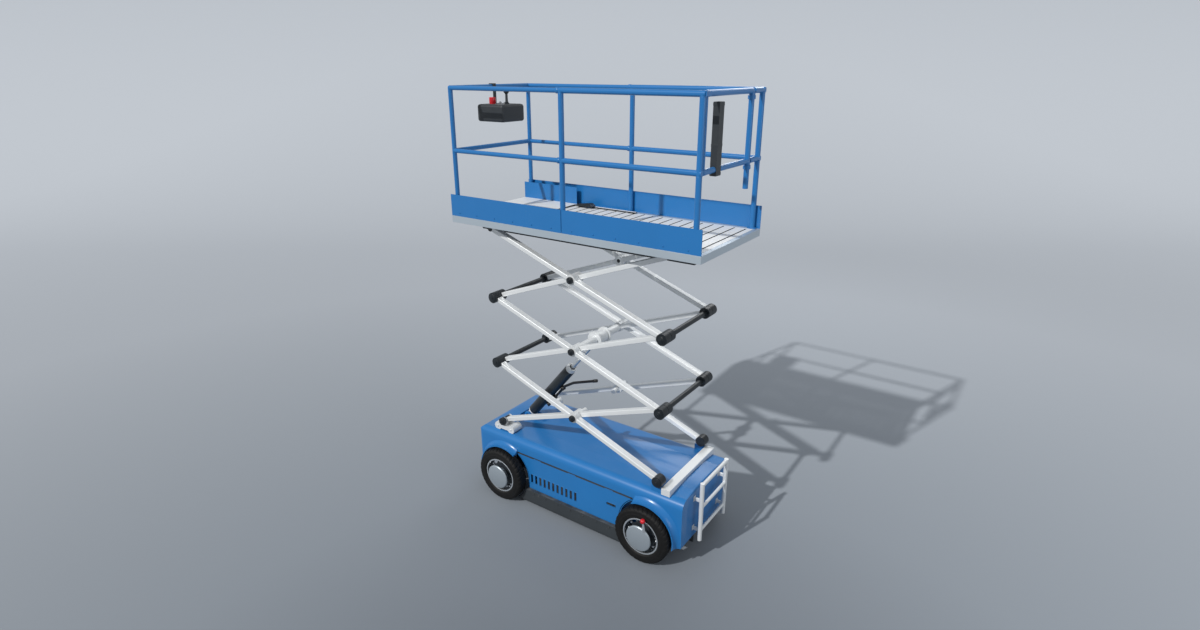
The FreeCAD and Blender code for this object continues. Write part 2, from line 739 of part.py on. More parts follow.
for level in (1, 2, 3):
    low_z = level_z[level - 1]
    inner_start = (pivot_x, low_z)
    outer_start = (right_x, low_z)
    first = level == 1
    last = level == 3

    # Inner pair: rises to the right and carries the pins and rods of its top nodes
    end_r = top_boss_r if last else collar_r
    base_r = base_sleeve_r if first else collar_r
    light = arm_bar(inner_arm_y, base_r, end_r, pin_r)
    if level == 2:
        half_tube = across(arm_length / 2, 0, mid_tube_r, (-inner_low - 3, -eye_half_width - move_gap))
        plate_y = (-eye_half_width - move_gap - 18, -eye_half_width - move_gap)
        plate = across(arm_length / 2, 0, lug_plate_r, plate_y)
        light = light.fuse(half_tube).fuse(plate).removeSplitter()
    elif first:
        stub = across(arm_length / 2, 0, rod_r, (-inner_low - 3, -230))
        light = light.fuse(stub).removeSplitter()
    save("inner_arms_%d" % level, [tilt(s, inner_start, True) for s in both_sides(light)])

    dark = []
    mid_pin = across(arm_length / 2, 0, pin_r, (-outer_face_y + 4, -inner_arm_y + arm_width / 2))
    mid_head = across(arm_length / 2, 0, 30, (-outer_face_y - 3, -outer_arm_y - arm_width / 2 - 2))
    for side in both_sides(mid_pin.fuse(mid_head).removeSplitter()):
        dark.append(side)
    collar = across(0, 0, base_r, (-inner_high, -inner_low))
    dark += both_sides(collar.cut(across(0, 0, pin_r + pin_play, (-450, -200))))
    if last:
        stub = fuse([across(arm_length, 0, pin_r, (-inner_high, -roller_y[1])),
                     across(arm_length, 0, top_boss_r, (-inner_high, -inner_low)),
                     across(arm_length, 0, roller_r, (-roller_y[0], -roller_y[1]))])
        dark += both_sides(stub)
    else:
        shaft = [across(arm_length, 0, rod_r, (-inner_low, inner_low)),
                 across(arm_length, 0, pin_r, (-outer_face_y - 4, outer_face_y + 4))]
        for sign in (-1, 1):
            shaft.append(across(arm_length, 0, collar_r, (sign * inner_high, sign * inner_low)))
            shaft.append(across(arm_length, 0, 34,
                                (sign * (outer_face_y + seat_gap), sign * (outer_face_y + 4))))
        dark.append(fuse(shaft))
    save("inner_pins_%d" % level, [tilt(s, inner_start, True) for s in dark])

    # Outer pair: rises to the left and carries the pins and rods of its top nodes
    base_r = collar_r
    light = arm_bar(outer_arm_y, base_r, end_r, pin_r + pin_play)
    save("outer_arms_%d" % level, [tilt(s, outer_start, False) for s in both_sides(light)])

    dark = []
    collar = across(0, 0, collar_r, (-outer_face_y, -outer_low))
    if not first:
        collar = collar.cut(across(0, 0, pin_r + pin_play, (-outer_face_y - 5, -outer_low + 5)))
    dark += both_sides(collar)
    shaft = [across(arm_length, 0, pin_r, (-outer_face_y, outer_face_y))]
    for sign in (-1, 1):
        outer_end = outer_arm_y + arm_width / 2 if last else outer_face_y
        shaft.append(across(arm_length, 0, end_r, (sign * outer_low, sign * outer_end)))
    if not last:
        shaft.append(across(arm_length, 0, rod_r, (-inner_low + 4, inner_low - 4)))
    else:
        shaft[0] = across(arm_length, 0, pin_r, (-outer_low, outer_low))
    dark.append(fuse(shaft))
    save("outer_collars_%d" % level, [tilt(s, outer_start, False) for s in dark])


# Lift cylinder, built flat along X from its base pin and then tilted to the eye
eye_dx = mid_x - cyl_base_x
eye_dz = level_z[1] + rise / 2 - cyl_base_z
cyl_length = math.hypot(eye_dx, eye_dz)
cyl_angle = math.degrees(math.atan2(eye_dz, eye_dx))


def aim(shape):
    shape = shape.copy()
    shape.rotate(Vector(0, 0, 0), Vector(0, -1, 0), cyl_angle)
    shape.translate(Vector(cyl_base_x, 0, cyl_base_z))
    return shape


barrel = rod((barrel_start, 0, 0), (barrel_end, 0, 0), barrel_r)
bore = rod((barrel_start + 60, 0, 0), (barrel_end + 100, 0, 0), rod_radius + pin_play)
save("cylinder_barrel", aim(barrel.cut(bore)))

# Light end caps: the base cap with its eye, and the gland that the rod slides through
base_eye = across(0, 0, 36, (-25, 25)).fuse(box((0, barrel_start - 10), (-25, 25), (-30, 30)))
base_cap = rod((barrel_start - 18, 0, 0), (barrel_start - seat_gap, 0, 0), cap_r)
base_cap = fuse([base_eye, base_cap]).cut(across(0, 0, pin_r + pin_play, (-60, 60)))
gland = rod((barrel_end + seat_gap, 0, 0), (barrel_end + cap_length, 0, 0), cap_r).cut(bore)
save("cylinder_caps", [aim(base_cap), aim(gland)])

piston_rod = rod((barrel_end - piston_depth, 0, 0), (cyl_length, 0, 0), rod_radius)
rod_eye = across(cyl_length, 0, eye_r, (-eye_half_width, eye_half_width))
save("cylinder_rod", aim(fuse([piston_rod, rod_eye])))


def bent_pipe(points, radius, bend):
    """Round pipe along straight runs joined by arcs of one bend radius, in the XZ plane."""
    points = [Vector(x, 0, z) for x, z in points]
    pieces = []
    start = points[0]
    for before, corner, after in zip(points, points[1:], points[2:]):
        a = (before - corner).normalize()
        b = (after - corner).normalize()
        half = math.acos(max(-1.0, min(1.0, a.dot(b)))) / 2
        reach = bend / math.tan(half)
        enter = corner + a * reach
        centre = corner + (a + b).normalize() * (bend / math.sin(half))
        axis = (a * -1).cross(b)
        section = Part.Face(Part.Wire([Part.makeCircle(radius, enter, a)]))
        pieces.append(Part.makeCylinder(radius, (enter - start).Length, start, enter - start))
        pieces.append(section.revolve(centre, axis, 180 - 2 * math.degrees(half)))
        start = corner + b * reach
    pieces.append(Part.makeCylinder(radius, (points[-1] - start).Length, start, points[-1] - start))
    return pieces


pipe_z = -barrel_r - hose_r - 8
hose_points = [(300, pipe_z), (640, pipe_z), (760, pipe_z - 40), (1010, pipe_z - 190)]
hose = bent_pipe(hose_points, hose_r, 60)
tip_dir = Vector(250, 0, -150).normalize()
tip = Vector(1010, 0, pipe_z - 190)
end_fitting = Part.makeCylinder(hose_r + 3, 46, tip - tip_dir * 40, tip_dir)
inlet = rod((300, 0, -barrel_r + 4), (300, 0, pipe_z - hose_r - 5), hose_r + 4)
clamps = [box((x, x + 24), (-20, 20), (pipe_z - hose_r - 5, -barrel_r + 4)) for x in (420, 590)]
cut_barrel = rod((barrel_start, 0, 0), (barrel_end, 0, 0), barrel_r)
hose_parts = hose + [inlet.cut(cut_barrel), end_fitting] + [c.cut(cut_barrel) for c in clamps]
save("cylinder_pipe", aim(fuse(hose_parts)))

# Platform frame: side channels, end channels and cross members
outer_x = (-half_length + 5, half_length)
frame_parts = both_sides(box(outer_x, (-deck_half_width, -post_y + tube_r), (deck_bottom_z, deck_top_z)))
for x in ((outer_x[0], outer_x[0] + frame_wall), (outer_x[1] - frame_wall, outer_x[1])):
    frame_parts.append(box(x, (-deck_half_width, deck_half_width), (deck_bottom_z, deck_top_z)))
member_pitch = (outer_x[1] - outer_x[0] - 2 * end_member_inset) / (cross_member_count - 1)
for k in range(cross_member_count):
    x = outer_x[0] + end_member_inset + k * member_pitch
    frame_parts.append(box((x - cross_member_half, x + cross_member_half),
                           (-deck_half_width + 5, deck_half_width - 5),
                           (deck_bottom_z, deck_top_z - slat_depth - seat_gap)))
save("platform_frame", fuse(frame_parts))

# Slotted deck: crosswise slats welded to a plate edge on both sides
slat_y = post_y - tube_r - seat_gap
slat_start = outer_x[0] + frame_wall + seat_gap
slat_end = outer_x[1] - frame_wall - seat_gap
slat_z = (deck_top_z - slat_depth, deck_top_z)


def slats(x, last_x):
    """Slats from x towards the front down to last_x, and where the next would start."""
    parts = []
    while x - slat_width > last_x:
        parts.append(box((x - slat_width, x), (-slat_y, slat_y), slat_z))
        x -= slat_pitch
    return parts, x


slot_width = slat_pitch - slat_width
rear_slats, break_x = slats(slat_end - slat_end_strip - slot_width, slat_break_x)
rear_slats.append(box((slat_end - slat_end_strip, slat_end), (-slat_y, slat_y), slat_z))
front_slats, plate_end = slats(break_x, ext_rear_x - 20)
break_edge = break_x + slot_width
for side in both_sides(box((break_edge, slat_end), (-slat_y, -slat_y + 24), slat_z)):
    rear_slats.append(side)
for side in both_sides(box((slat_start, break_x), (-slat_y, -slat_y + 24), slat_z)):
    front_slats.append(side)
front_slats.append(box((slat_start, plate_end), (-slat_y, slat_y), slat_z))
save("deck_slats", [fuse(rear_slats), fuse(front_slats)])

# Long channels under the deck: top rollers run in them, the top left shaft turns in them
channel_y = (-298, -240)
channel_wall = 6.0
channel_gap = 0.8
channel_flange = 24.0
channel_low = top_pivot_z - roller_r - channel_gap - channel_flange
channel = box((pivot_x - 220, right_x + 181), channel_y, (channel_low, deck_bottom_z - seat_gap))
groove = box((pivot_x + 80, right_x + 300), (channel_y[0] - 5, channel_y[1] - channel_wall),
             (top_pivot_z - roller_r - channel_gap, top_pivot_z + roller_r + channel_gap))
bearing = box((pivot_x - 34, pivot_x + 34), (-366, channel_y[0]),
              (top_pivot_z - roller_r - channel_wall, deck_bottom_z - seat_gap))
channel = channel.cut(groove).fuse(bearing)
channel = channel.cut(across(pivot_x, top_pivot_z, pin_r + pin_play, (-500, -100))).removeSplitter()
save("under_deck_channels", both_sides(channel))

# Toe boards, in two lengths a side
toe_y = (-deck_half_width, -deck_half_width + toe_thick)
toe_parts = []
for x in ((outer_x[0], -3), (3, outer_x[1])):
    toe_parts += both_sides(box(x, toe_y, (deck_top_z + seat_gap, toe_top_z)))
save("toe_boards", toe_parts)

# Fixed guard rails: middle and rear posts, rear bay rails, stub rails beside the gate
rail_levels = (mid_rail_z, top_rail_z)


def side_rail_parts(sign):
    y = sign * post_y
    inner = sign * (post_y - tube_r)
    parts = []
    for x in (0, post_x):
        parts.append(rod((x, y, deck_top_z + seat_gap), (x, y, top_rail_z), tube_r))
        parts.append(box((x - 34, x + 34), (sign * (deck_half_width - toe_thick), inner),
                         (deck_top_z + seat_gap, deck_top_z + 8)))
    for z in rail_levels:
        parts.append(rod((-40, y, z), (post_x + tube_r, y, z), tube_r))
    return parts


def bore_rails(shape, sign):
    for z in rail_levels:
        shape = shape.cut(rod((-60, sign * post_y, z), (post_x - 60, sign * post_y, z),
                              inner_tube_r + pin_play))
    return shape


near_parts = side_rail_parts(-1)
keeper_z = (top_rail_z - 16, top_rail_z + 16)
near_parts.append(box((post_x + tube_r + 3, post_x + tube_r + 9), (-post_y, -post_y + 62), keeper_z))
near_parts.append(box((post_x, post_x + tube_r + 9), (-post_y - 10, -post_y + 10), keeper_z))
near_side = bore_rails(fuse(near_parts), -1)

far_parts = side_rail_parts(1)
stub_end = stile_y + tube_r + move_gap
for z in rail_levels:
    far_parts.append(across(post_x, z, tube_r, (stub_end, post_y)))
    ring_z = (z - 62, z - 34)
    far_parts.append(rod((post_x, stile_y, ring_z[0]), (post_x, stile_y, ring_z[1]), hinge_ring_r))
    far_parts.append(box((post_x - 10, post_x + 10), (stile_y + 20, stub_end + 14), ring_z))
    far_parts.append(box((post_x - 10, post_x + 10), (stub_end + 2, stub_end + 14), (ring_z[0], z)))
far_side = bore_rails(fuse(far_parts), 1)
for z in rail_levels:
    far_side = far_side.cut(rod((post_x, stile_y, z - 70), (post_x, stile_y, z - 28), tube_r + pin_play))
save("guard_rails", [near_side, far_side])

# Gate: hinged on its stile, swings inward over the deck
gate_end = -post_y + tube_r + move_gap
gate_parts = [rod((post_x, stile_y, stile_bottom_z), (post_x, stile_y, top_rail_z), tube_r)]
for z in rail_levels:
    gate_parts.append(across(post_x, z, tube_r, (gate_end, stile_y)))
gate_parts.append(rod((post_x, gate_end + tube_r, mid_rail_z), (post_x, gate_end + tube_r, top_rail_z), 14))
gate = fuse(gate_parts)
save("gate", gate)
holder_z = (mid_rail_z - 45, top_rail_z - 59)
holder = box((post_x - 25, post_x + 25), (-298, -222), holder_z)
hollow = box((post_x - 21, post_x + 21), (-294, -226), (mid_rail_z + tube_r + 10, holder_z[1] + 10))
save("document_holder", holder.cut(hollow).cut(gate))

# Extension: deck plate, slide bars, toe plates, posts and telescoping rails
ext_low_z = deck_top_z + ext_lift
ext_top_z = ext_low_z + ext_flange + ext_plate
plate = box((-half_length, ext_rear_x), (-ext_half_width, ext_half_width), (ext_low_z + ext_flange, ext_top_z))
ext_parts = [plate]
for x in ((-half_length, -half_length + 30), (ext_rear_x - 30, ext_rear_x)):
    ext_parts.append(box(x, (-ext_half_width, ext_half_width), (ext_low_z, ext_low_z + ext_flange)))
ext_side_y = (-ext_half_width, -ext_half_width + 30)
ext_parts += both_sides(box((-half_length, slat_break_x - 2), ext_side_y, (ext_low_z, ext_top_z)))
save("extension_deck", fuse(ext_parts))

pad_z = (deck_top_z + seat_gap, ext_low_z - seat_gap)
pads = []
for x in (-half_length + 40, ext_rear_x + 20, 10):
    pads += both_sides(box((x, x + 60), (-ext_half_width + 2, -ext_half_width + 28), pad_z))
save("slide_pads", pads)

toe_plate_top = toe_top_z - 20
toe_plates = both_sides(box((-half_length, ext_rear_x), (-ext_half_width - 5, -ext_half_width - seat_gap),
                            (ext_low_z, toe_plate_top)))
save("extension_toe_plates", toe_plates)

ext_post_y = post_y - 4
ext_tube_r = tube_r - 2
ext_rails = []
for sign in (-1, 1):
    y = sign * post_y
    foot_y = (sign * (ext_half_width + 5 + seat_gap), sign * (deck_half_width - toe_thick - move_gap))
    ext_rails.append(box((-post_x - 34, -post_x + 34), foot_y, (ext_low_z, ext_low_z + 8)))
    ext_rails.append(rod((-post_x, sign * ext_post_y, ext_low_z),
                         (-post_x, sign * ext_post_y, top_rail_z), ext_tube_r))
    for z in rail_levels:
        ext_rails.append(rod((-post_x, y, z), (ext_overlap_x, y, z), inner_tube_r))
for z in rail_levels:
    ext_rails.append(across(-post_x, z, ext_tube_r, (-ext_post_y, ext_post_y)))
save("extension_rails", fuse(ext_rails))

# Foot pedal that frees the extension, on the far slide bar
pedal_x = (-560.0, -370.0)
pedal_y = (ext_half_width - 73, ext_half_width - 8)
pedal_base = box(pedal_x, pedal_y, (ext_top_z + seat_gap, ext_top_z + 10))
pedal_top = polygon([(pedal_x[0], ext_top_z + 9), (pedal_x[1], ext_top_z + 9), (pedal_x[1] - 30, ext_top_z + 31)],
                    "xz", pedal_y[0], pedal_y[1])
save("foot_pedal", fuse([pedal_base, pedal_top]))

# Control box hung from the front rail, with its joystick and stop button
box_x = (-post_x + 28, -post_x + 338)
box_y = (-232, 58)
box_z = (top_rail_z - 291, top_rail_z - 145)
strap_z = (top_rail_z - 259, top_rail_z - 199)
body = box(box_x, box_y, box_z)
body = body.makeFillet(22, body.Edges)
strap_y = (-5, 30)
strap_x = -post_x + ext_tube_r
hook_z = top_rail_z + ext_tube_r
hanger = [
    box((strap_x + seat_gap, box_x[0] + 12), strap_y, strap_z),
    box((strap_x + seat_gap, strap_x + 7), strap_y, (strap_z[0] - 10, hook_z + 7)),
    box((-post_x - ext_tube_r - 7, strap_x + 7), strap_y, (hook_z + seat_gap, hook_z + 7)),
    box((-post_x - ext_tube_r - 7, -post_x - ext_tube_r - seat_gap), strap_y, (top_rail_z - 10, hook_z + 7)),
]
save("control_box", fuse([body] + hanger))
stick_x, stick_y = -post_x + 233, -60
stick = rod((stick_x, stick_y, box_z[1] + seat_gap), (stick_x, stick_y, top_rail_z - 34), 9)
boot = Part.makeCone(34, 12, 36, Vector(stick_x, stick_y, box_z[1] + seat_gap), Vector(0, 0, 1))
grip = Part.makeSphere(27, Vector(stick_x, stick_y, top_rail_z - 29))
save("joystick", fuse([stick, boot, grip]))
button_x, button_y = -post_x + 108, -110
button = fuse([rod((button_x, button_y, box_z[1] + seat_gap), (button_x, button_y, box_z[1] + 34), 18),
               rod((button_x, button_y, box_z[1] + 30), (button_x, button_y, box_z[1] + 58), 30)])
save("stop_button", button)
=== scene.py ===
import math
import bmesh
import bpy
from mathutils import Matrix, Vector


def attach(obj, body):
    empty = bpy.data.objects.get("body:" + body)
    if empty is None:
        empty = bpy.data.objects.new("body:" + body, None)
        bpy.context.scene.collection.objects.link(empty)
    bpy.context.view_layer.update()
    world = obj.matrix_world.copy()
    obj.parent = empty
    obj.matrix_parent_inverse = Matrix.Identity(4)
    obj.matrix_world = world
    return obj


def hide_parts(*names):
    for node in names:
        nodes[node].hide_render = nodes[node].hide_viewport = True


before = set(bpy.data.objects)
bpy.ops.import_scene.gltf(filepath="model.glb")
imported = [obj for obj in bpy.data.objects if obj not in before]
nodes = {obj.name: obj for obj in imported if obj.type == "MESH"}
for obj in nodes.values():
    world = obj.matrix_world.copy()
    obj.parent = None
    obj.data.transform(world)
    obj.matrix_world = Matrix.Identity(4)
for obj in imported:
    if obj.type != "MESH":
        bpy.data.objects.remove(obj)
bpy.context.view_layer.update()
scene = bpy.context.scene

# Camera: it stands off the rear left corner of the machine, a little above the platform rails,
# and looks down at the steered end. Its place comes from the straight edges in the photograph.
tilt_down, turned_left = 20.161, 34.835
sensor_width, focal_pixels, photo_width = 36.0, 675.53, 1200
camera = bpy.data.objects.new("Camera", bpy.data.cameras.new("Camera"))
camera.location = (3.3264, -4.7685, 4.1253)
camera.rotation_euler = (math.radians(90 - tilt_down), 0, math.radians(turned_left))
camera.data.sensor_width = sensor_width
camera.data.lens = sensor_width * focal_pixels / photo_width
camera.data.clip_end = 200
scene.collection.objects.link(camera)
scene.camera = camera
scene.view_settings.view_transform = "Standard"

# Studio: a pale floor that sweeps up into the wall behind with no corner, so that no horizon shows; its colour
# carries painted shade, darker near the camera and lighter far off.
# A soft high sun stands on the near side, with a wide lamp behind and one at the ladder end.
floor_mesh = bmesh.new()
back = Vector((-0.5712, 0.8208, 0.0))
across = Vector((0.8208, 0.5712, 0.0))
sweep_start, sweep_radius = 10.0, 12.0
strip_width, strips_each_way = 7.5, 8
floor_rows = [(-60.0 + 10.0 * k, 0.0) for k in range(8)]
for degrees in range(5, 91, 5):
    turn = math.radians(degrees)
    floor_rows.append((sweep_start + sweep_radius * math.sin(turn), sweep_radius * (1 - math.cos(turn))))
floor_loops = []
for depth, height in floor_rows:
    places = [back * depth + across * (strip_width * k) + Vector((0, 0, height))
              for k in range(-strips_each_way, strips_each_way + 1)]
    floor_loops.append([floor_mesh.verts.new(place) for place in places])
for a, b in zip(floor_loops, floor_loops[1:]):
    for k in range(2 * strips_each_way):
        floor_mesh.faces.new((a[k], a[k + 1], b[k + 1], b[k]))
floor_data = bpy.data.meshes.new("Studio_floor")
floor_mesh.to_mesh(floor_data)
floor_mesh.free()
floor_data.shade_smooth()
floor = bpy.data.objects.new("Studio_floor", floor_data)
scene.collection.objects.link(floor)
# Painted shade: the floor colour darkens towards a point near the camera and brightens with distance, a painted
# falloff of light.
near_point, painted_falloff_reach = back * -3.2, 24.0
near_painted_shade, far_painted_light = (0.120, 0.138, 0.163, 1), (0.480, 0.510, 0.552, 1)
painted_falloff_steps = ((0.15, (0.243, 0.270, 0.304, 1)), (0.44, (0.384, 0.411, 0.450, 1)))
floor_paint = bpy.data.materials.new("Pale_floor_painted_falloff")
floor_paint.use_nodes = True
tree = floor_paint.node_tree
floor_shader = tree.nodes["Principled BSDF"]
floor_spot = tree.nodes.new("ShaderNodeTexCoord")
floor_reach = tree.nodes.new("ShaderNodeVectorMath")
floor_reach.operation = "DISTANCE"
floor_reach.inputs[1].default_value = near_point
floor_span = tree.nodes.new("ShaderNodeMapRange")
floor_span.inputs["From Max"].default_value = painted_falloff_reach
floor_painted_falloff = tree.nodes.new("ShaderNodeValToRGB")
floor_painted_falloff.color_ramp.elements[0].color = near_painted_shade
floor_painted_falloff.color_ramp.elements[1].color = far_painted_light
for at, colour in painted_falloff_steps:
    floor_painted_falloff.color_ramp.elements.new(at).color = colour
tree.links.new(floor_spot.outputs["Object"], floor_reach.inputs[0])
tree.links.new(floor_reach.outputs["Value"], floor_span.inputs["Value"])
tree.links.new(floor_span.outputs["Result"], floor_painted_falloff.inputs["Fac"])
tree.links.new(floor_painted_falloff.outputs["Color"], floor_shader.inputs["Base Color"])
floor_shader.inputs["Roughness"].default_value = 0.9
floor_shader.inputs["Specular IOR Level"].default_value = 0.1
floor_data.materials.append(floor_paint)

world = bpy.data.worlds.new("Studio_air")
world.use_nodes = True
air = world.node_tree.nodes["Background"].inputs
air["Color"].default_value = (0.93, 0.965, 1.0, 1)
air["Strength"].default_value = 0.44
scene.world = world
sun = bpy.data.objects.new("Sun_lamp", bpy.data.lights.new("Sun_lamp", "SUN"))
sun.data.energy = 2.75
sun.data.angle = math.radians(1.2)
sun.data.color = (1.0, 0.985, 0.96)
sun.rotation_euler = Vector((0.352, 1.18, -1.0)).to_track_quat("-Z", "Y").to_euler()
scene.collection.objects.link(sun)
lamps = [
    dict(name="Rear_lamp", place=(-0.4, 6.8, 5.9), target=(0.8, 0, 0.7), power=95, size=(4.0, 2.0),
         tint=(0.97, 0.985, 1.0)),
    dict(name="Side_lamp", place=(9.0, -1.0, 4.5), target=(0.5, 0, 1.2), power=130, size=(5.0, 4.0),
         tint=(0.93, 0.965, 1.0)),
]
for row in lamps:
    lamp = bpy.data.objects.new(row["name"], bpy.data.lights.new(row["name"], "AREA"))
    lamp.data.shape = "RECTANGLE"
    lamp.data.size, lamp.data.size_y = row["size"]
    lamp.data.energy = row["power"]
    lamp.data.color = row["tint"]
    lamp.location = row["place"]
    towards = Vector(row["target"]) - Vector(row["place"])
    lamp.rotation_euler = towards.to_track_quat("-Z", "Y").to_euler()
    lamp.visible_camera = False
    scene.collection.objects.link(lamp)

# Body shell: pressed steel hood and sides in one skin, sprayed gloss blue. It has a crowned top
# and soft shoulders; the four wheel arches with their flared lips are welded in from inside.


def new_group(name, *given):
    """Empty node group for a finish: its tree, its named inputs and its three outputs."""
    tree = bpy.data.node_groups.new(name, "ShaderNodeTree")
    for label, kind, value in given:
        socket = tree.interface.new_socket(label, in_out="INPUT", socket_type="NodeSocket" + kind)
        socket.default_value = value
    for label, kind in (("Colour", "Color"), ("Roughness", "Float"), ("Height", "Float")):
        tree.interface.new_socket(label, in_out="OUTPUT", socket_type="NodeSocket" + kind)
    return tree, tree.nodes.new("NodeGroupInput").outputs, tree.nodes.new("NodeGroupOutput").inputs


def add(tree, kind, wires, **settings):
    """One shader node; each wire is a socket to join or a value to set."""
    made = tree.nodes.new("ShaderNode" + kind)
    for key, value in settings.items():
        setattr(made, key, value)
    for key, value in wires.items():
        if isinstance(value, bpy.types.NodeSocket):
            tree.links.new(value, made.inputs[key])
        else:
            made.inputs[key].default_value = value
    return made


def maths(tree, operation, a, b=0.0, c=0.0):
    """Result of one sum on values or sockets."""
    return add(tree, "Math", {0: a, 1: b, 2: c}, operation=operation).outputs[0]


def stretched(tree, value, low, high, start=0.0, end=1.0):
    """Value with its range from low to high stretched to start and end."""
    span = {"Value": value, "From Min": low, "From Max": high, "To Min": start, "To Max": end}
    return add(tree, "MapRange", span).outputs["Result"]


def blot(tree, place, scale, detail, low, high):
    """Noise with its range between low and high stretched to 0 and 1."""
    cloud = add(tree, "TexNoise", {"Vector": place, "Scale": scale, "Detail": detail}).outputs["Fac"]
    return stretched(tree, cloud, low, high)


def mixed(tree, amount, a, b):
    """Colour that goes from a to b as the amount grows."""
    return add(tree, "Mix", {0: amount, 6: a, 7: b}, data_type="RGBA").outputs[2]


def scaled(tree, colour, amount):
    """Colour made brighter or darker by a factor."""
    return add(tree, "VectorMath", {"Vector": colour, "Scale": amount}, operation="SCALE").outputs[0]


def upward(tree):
    """Height of the surface's own direction, from -1 to 1."""
    normal = add(tree, "NewGeometry", {}).outputs["Normal"]
    return add(tree, "SeparateXYZ", {0: normal}).outputs["Z"]


def put_out(tree, gives, colour, roughness, height):
    """Joins the three results of a group to its outputs."""
    for label, result in (("Colour", colour), ("Roughness", roughness), ("Height", height)):
        tree.links.new(result, gives[label])


bare_steel, dust_tone = (0.32, 0.33, 0.34, 1), (0.42, 0.41, 0.39, 1)
paint_film, given, gives = new_group(
    "Paint film", ("Colour", "Color", (1, 1, 1, 1)), ("Fade", "Float", 0.1), ("Dust", "Float", 0.2),
    ("Scuffs", "Float", 0.2), ("Gloss", "Float", 0.3))
spot = add(paint_film, "TexCoord", {}).outputs["Object"]
cloud = blot(paint_film, spot, 2.6, 4.0, 0.3, 0.7)
faded = scaled(paint_film, given["Colour"], maths(paint_film, "MULTIPLY_ADD", cloud, given["Fade"], 0.97))
level = stretched(paint_film, upward(paint_film), 0.55, 1.0)
settled = maths(paint_film, "MULTIPLY", level, blot(paint_film, spot, 11.0, 7.0, 0.38, 0.72))
dusty = maths(paint_film, "MULTIPLY", settled, given["Dust"])
rubbed = blot(paint_film, spot, 3.5, 2.0, 0.5, 0.62)
marks = maths(paint_film, "MULTIPLY", blot(paint_film, spot, 75.0, 3.0, 0.66, 0.72), rubbed)
scuffed = maths(paint_film, "MULTIPLY", marks, given["Scuffs"])
powdered = mixed(paint_film, dusty, mixed(paint_film, scuffed, faded, bare_steel), dust_tone)
rough = maths(paint_film, "ADD", given["Gloss"], maths(paint_film, "MULTIPLY", dusty, 0.9))
rougher = maths(paint_film, "ADD", rough, maths(paint_film, "MULTIPLY", scuffed, 0.3))
peel = maths(paint_film, "MULTIPLY", blot(paint_film, spot, 260.0, 2.0, 0.3, 0.7), 0.35)
put_out(paint_film, gives, powdered, maths(paint_film, "MINIMUM", rougher, 0.95),
        maths(paint_film, "SUBTRACT", peel, scuffed))


def finish(name, shared, values, bump, **sockets):
    """Material whose colour, roughness and height come from a shared group; the shader has the rest."""
    material = bpy.data.materials.new(name)
    material.use_nodes = True
    tree = material.node_tree
    shader = tree.nodes["Principled BSDF"]
    skin = tree.nodes.new("ShaderNodeGroup")
    skin.node_tree = shared
    for key, value in values.items():
        skin.inputs[key].default_value = value
    tree.links.new(skin.outputs["Colour"], shader.inputs["Base Color"])
    tree.links.new(skin.outputs["Roughness"], shader.inputs["Roughness"])
    relief = add(tree, "Bump", {"Height": skin.outputs["Height"], "Strength": bump[0], "Distance": bump[1]})
    tree.links.new(relief.outputs["Normal"], shader.inputs["Normal"])
    for key, value in sockets.items():
        shader.inputs[key.replace("_", " ")].default_value = value
    return material


def soften(obj, width, angle):
    """Rounds the edges that are sharper than an angle by a small radius."""
    bevel = obj.modifiers.new("Soft edge", "BEVEL")
    bevel.width = width
    bevel.segments = 2
    bevel.angle_limit = math.radians(angle)
    return bevel


sharp_angle = 38


def dress(name, material, edge=0.0012):
    """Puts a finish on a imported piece, and softens its sharp edges by a small radius."""
    obj = nodes[name]
    obj.data.materials.clear()
    obj.data.materials.append(material)
    if "custom_normal" in obj.data.attributes:
        obj.data.attributes.remove(obj.data.attributes["custom_normal"])
    weld = obj.modifiers.new("Weld", "WELD")
    weld.merge_threshold = 0.00002
    obj.data.shade_smooth()
    if edge:
        soften(obj, edge, sharp_angle).harden_normals = True
    else:
        obj.data.set_sharp_from_angle(angle=math.radians(sharp_angle))


def piece(name, mesh, body, material, edge=0.0, angle=sharp_angle):
    """New object from a built mesh, with its finish; where it is built in place it rides on its body."""
    if isinstance(mesh, bmesh.types.BMesh):
        built = bpy.data.meshes.new(name)
        bmesh.ops.recalc_face_normals(mesh, faces=mesh.faces)
        mesh.to_mesh(built)
        mesh.free()
        mesh = built
    obj = bpy.data.objects.new(name, mesh)
    scene.collection.objects.link(obj)
    if not mesh.materials:
        mesh.materials.append(material)
    mesh.shade_smooth()
    mesh.set_sharp_from_angle(angle=math.radians(angle))
    if edge:
        soften(obj, edge, angle)
    if body:
        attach(obj, body)
    return obj


blue_paint = finish("Blue_gloss_paint", paint_film,
                    {"Colour": (0.0170, 0.158, 0.425, 1), "Fade": 0.05, "Dust": 0.015, "Scuffs": 0.10,
                     "Gloss": 0.34},
                    (0.08, 0.0006), Specular_IOR_Level=0.22, Coat_Weight=0.42, Coat_Roughness=0.21)
dress("body_shell", blue_paint, edge=0.0016)
dress("wheel_arches", blue_paint, edge=0.0012)
dress("arm_towers", blue_paint, edge=0.0015)

# Side doors: flat steel panels on three hinges along the top edge, where a black strip closes the
# gap, with eleven upright louvre slots pressed in and a black paddle latch in a pocket near the rear.
side_y = 0.455
louvre_first, louvre_pitch, louvre_count = -0.4946, 0.0534, 11
louvre_x = [louvre_first + k * louvre_pitch for k in range(louvre_count)]
louvre_half, latch_half = (0.0125, 0.0475), (0.050, 0.014)
louvre_z = 0.300
louvre_proud, latch_proud, lip_width = 0.0014, 0.0012, 0.004
latch_place = (0.447, 0.380)
strip_start, strip_length, strip_radius = -0.658, 1.316, 0.0041
strip_y, strip_z = 0.4515, 0.5295


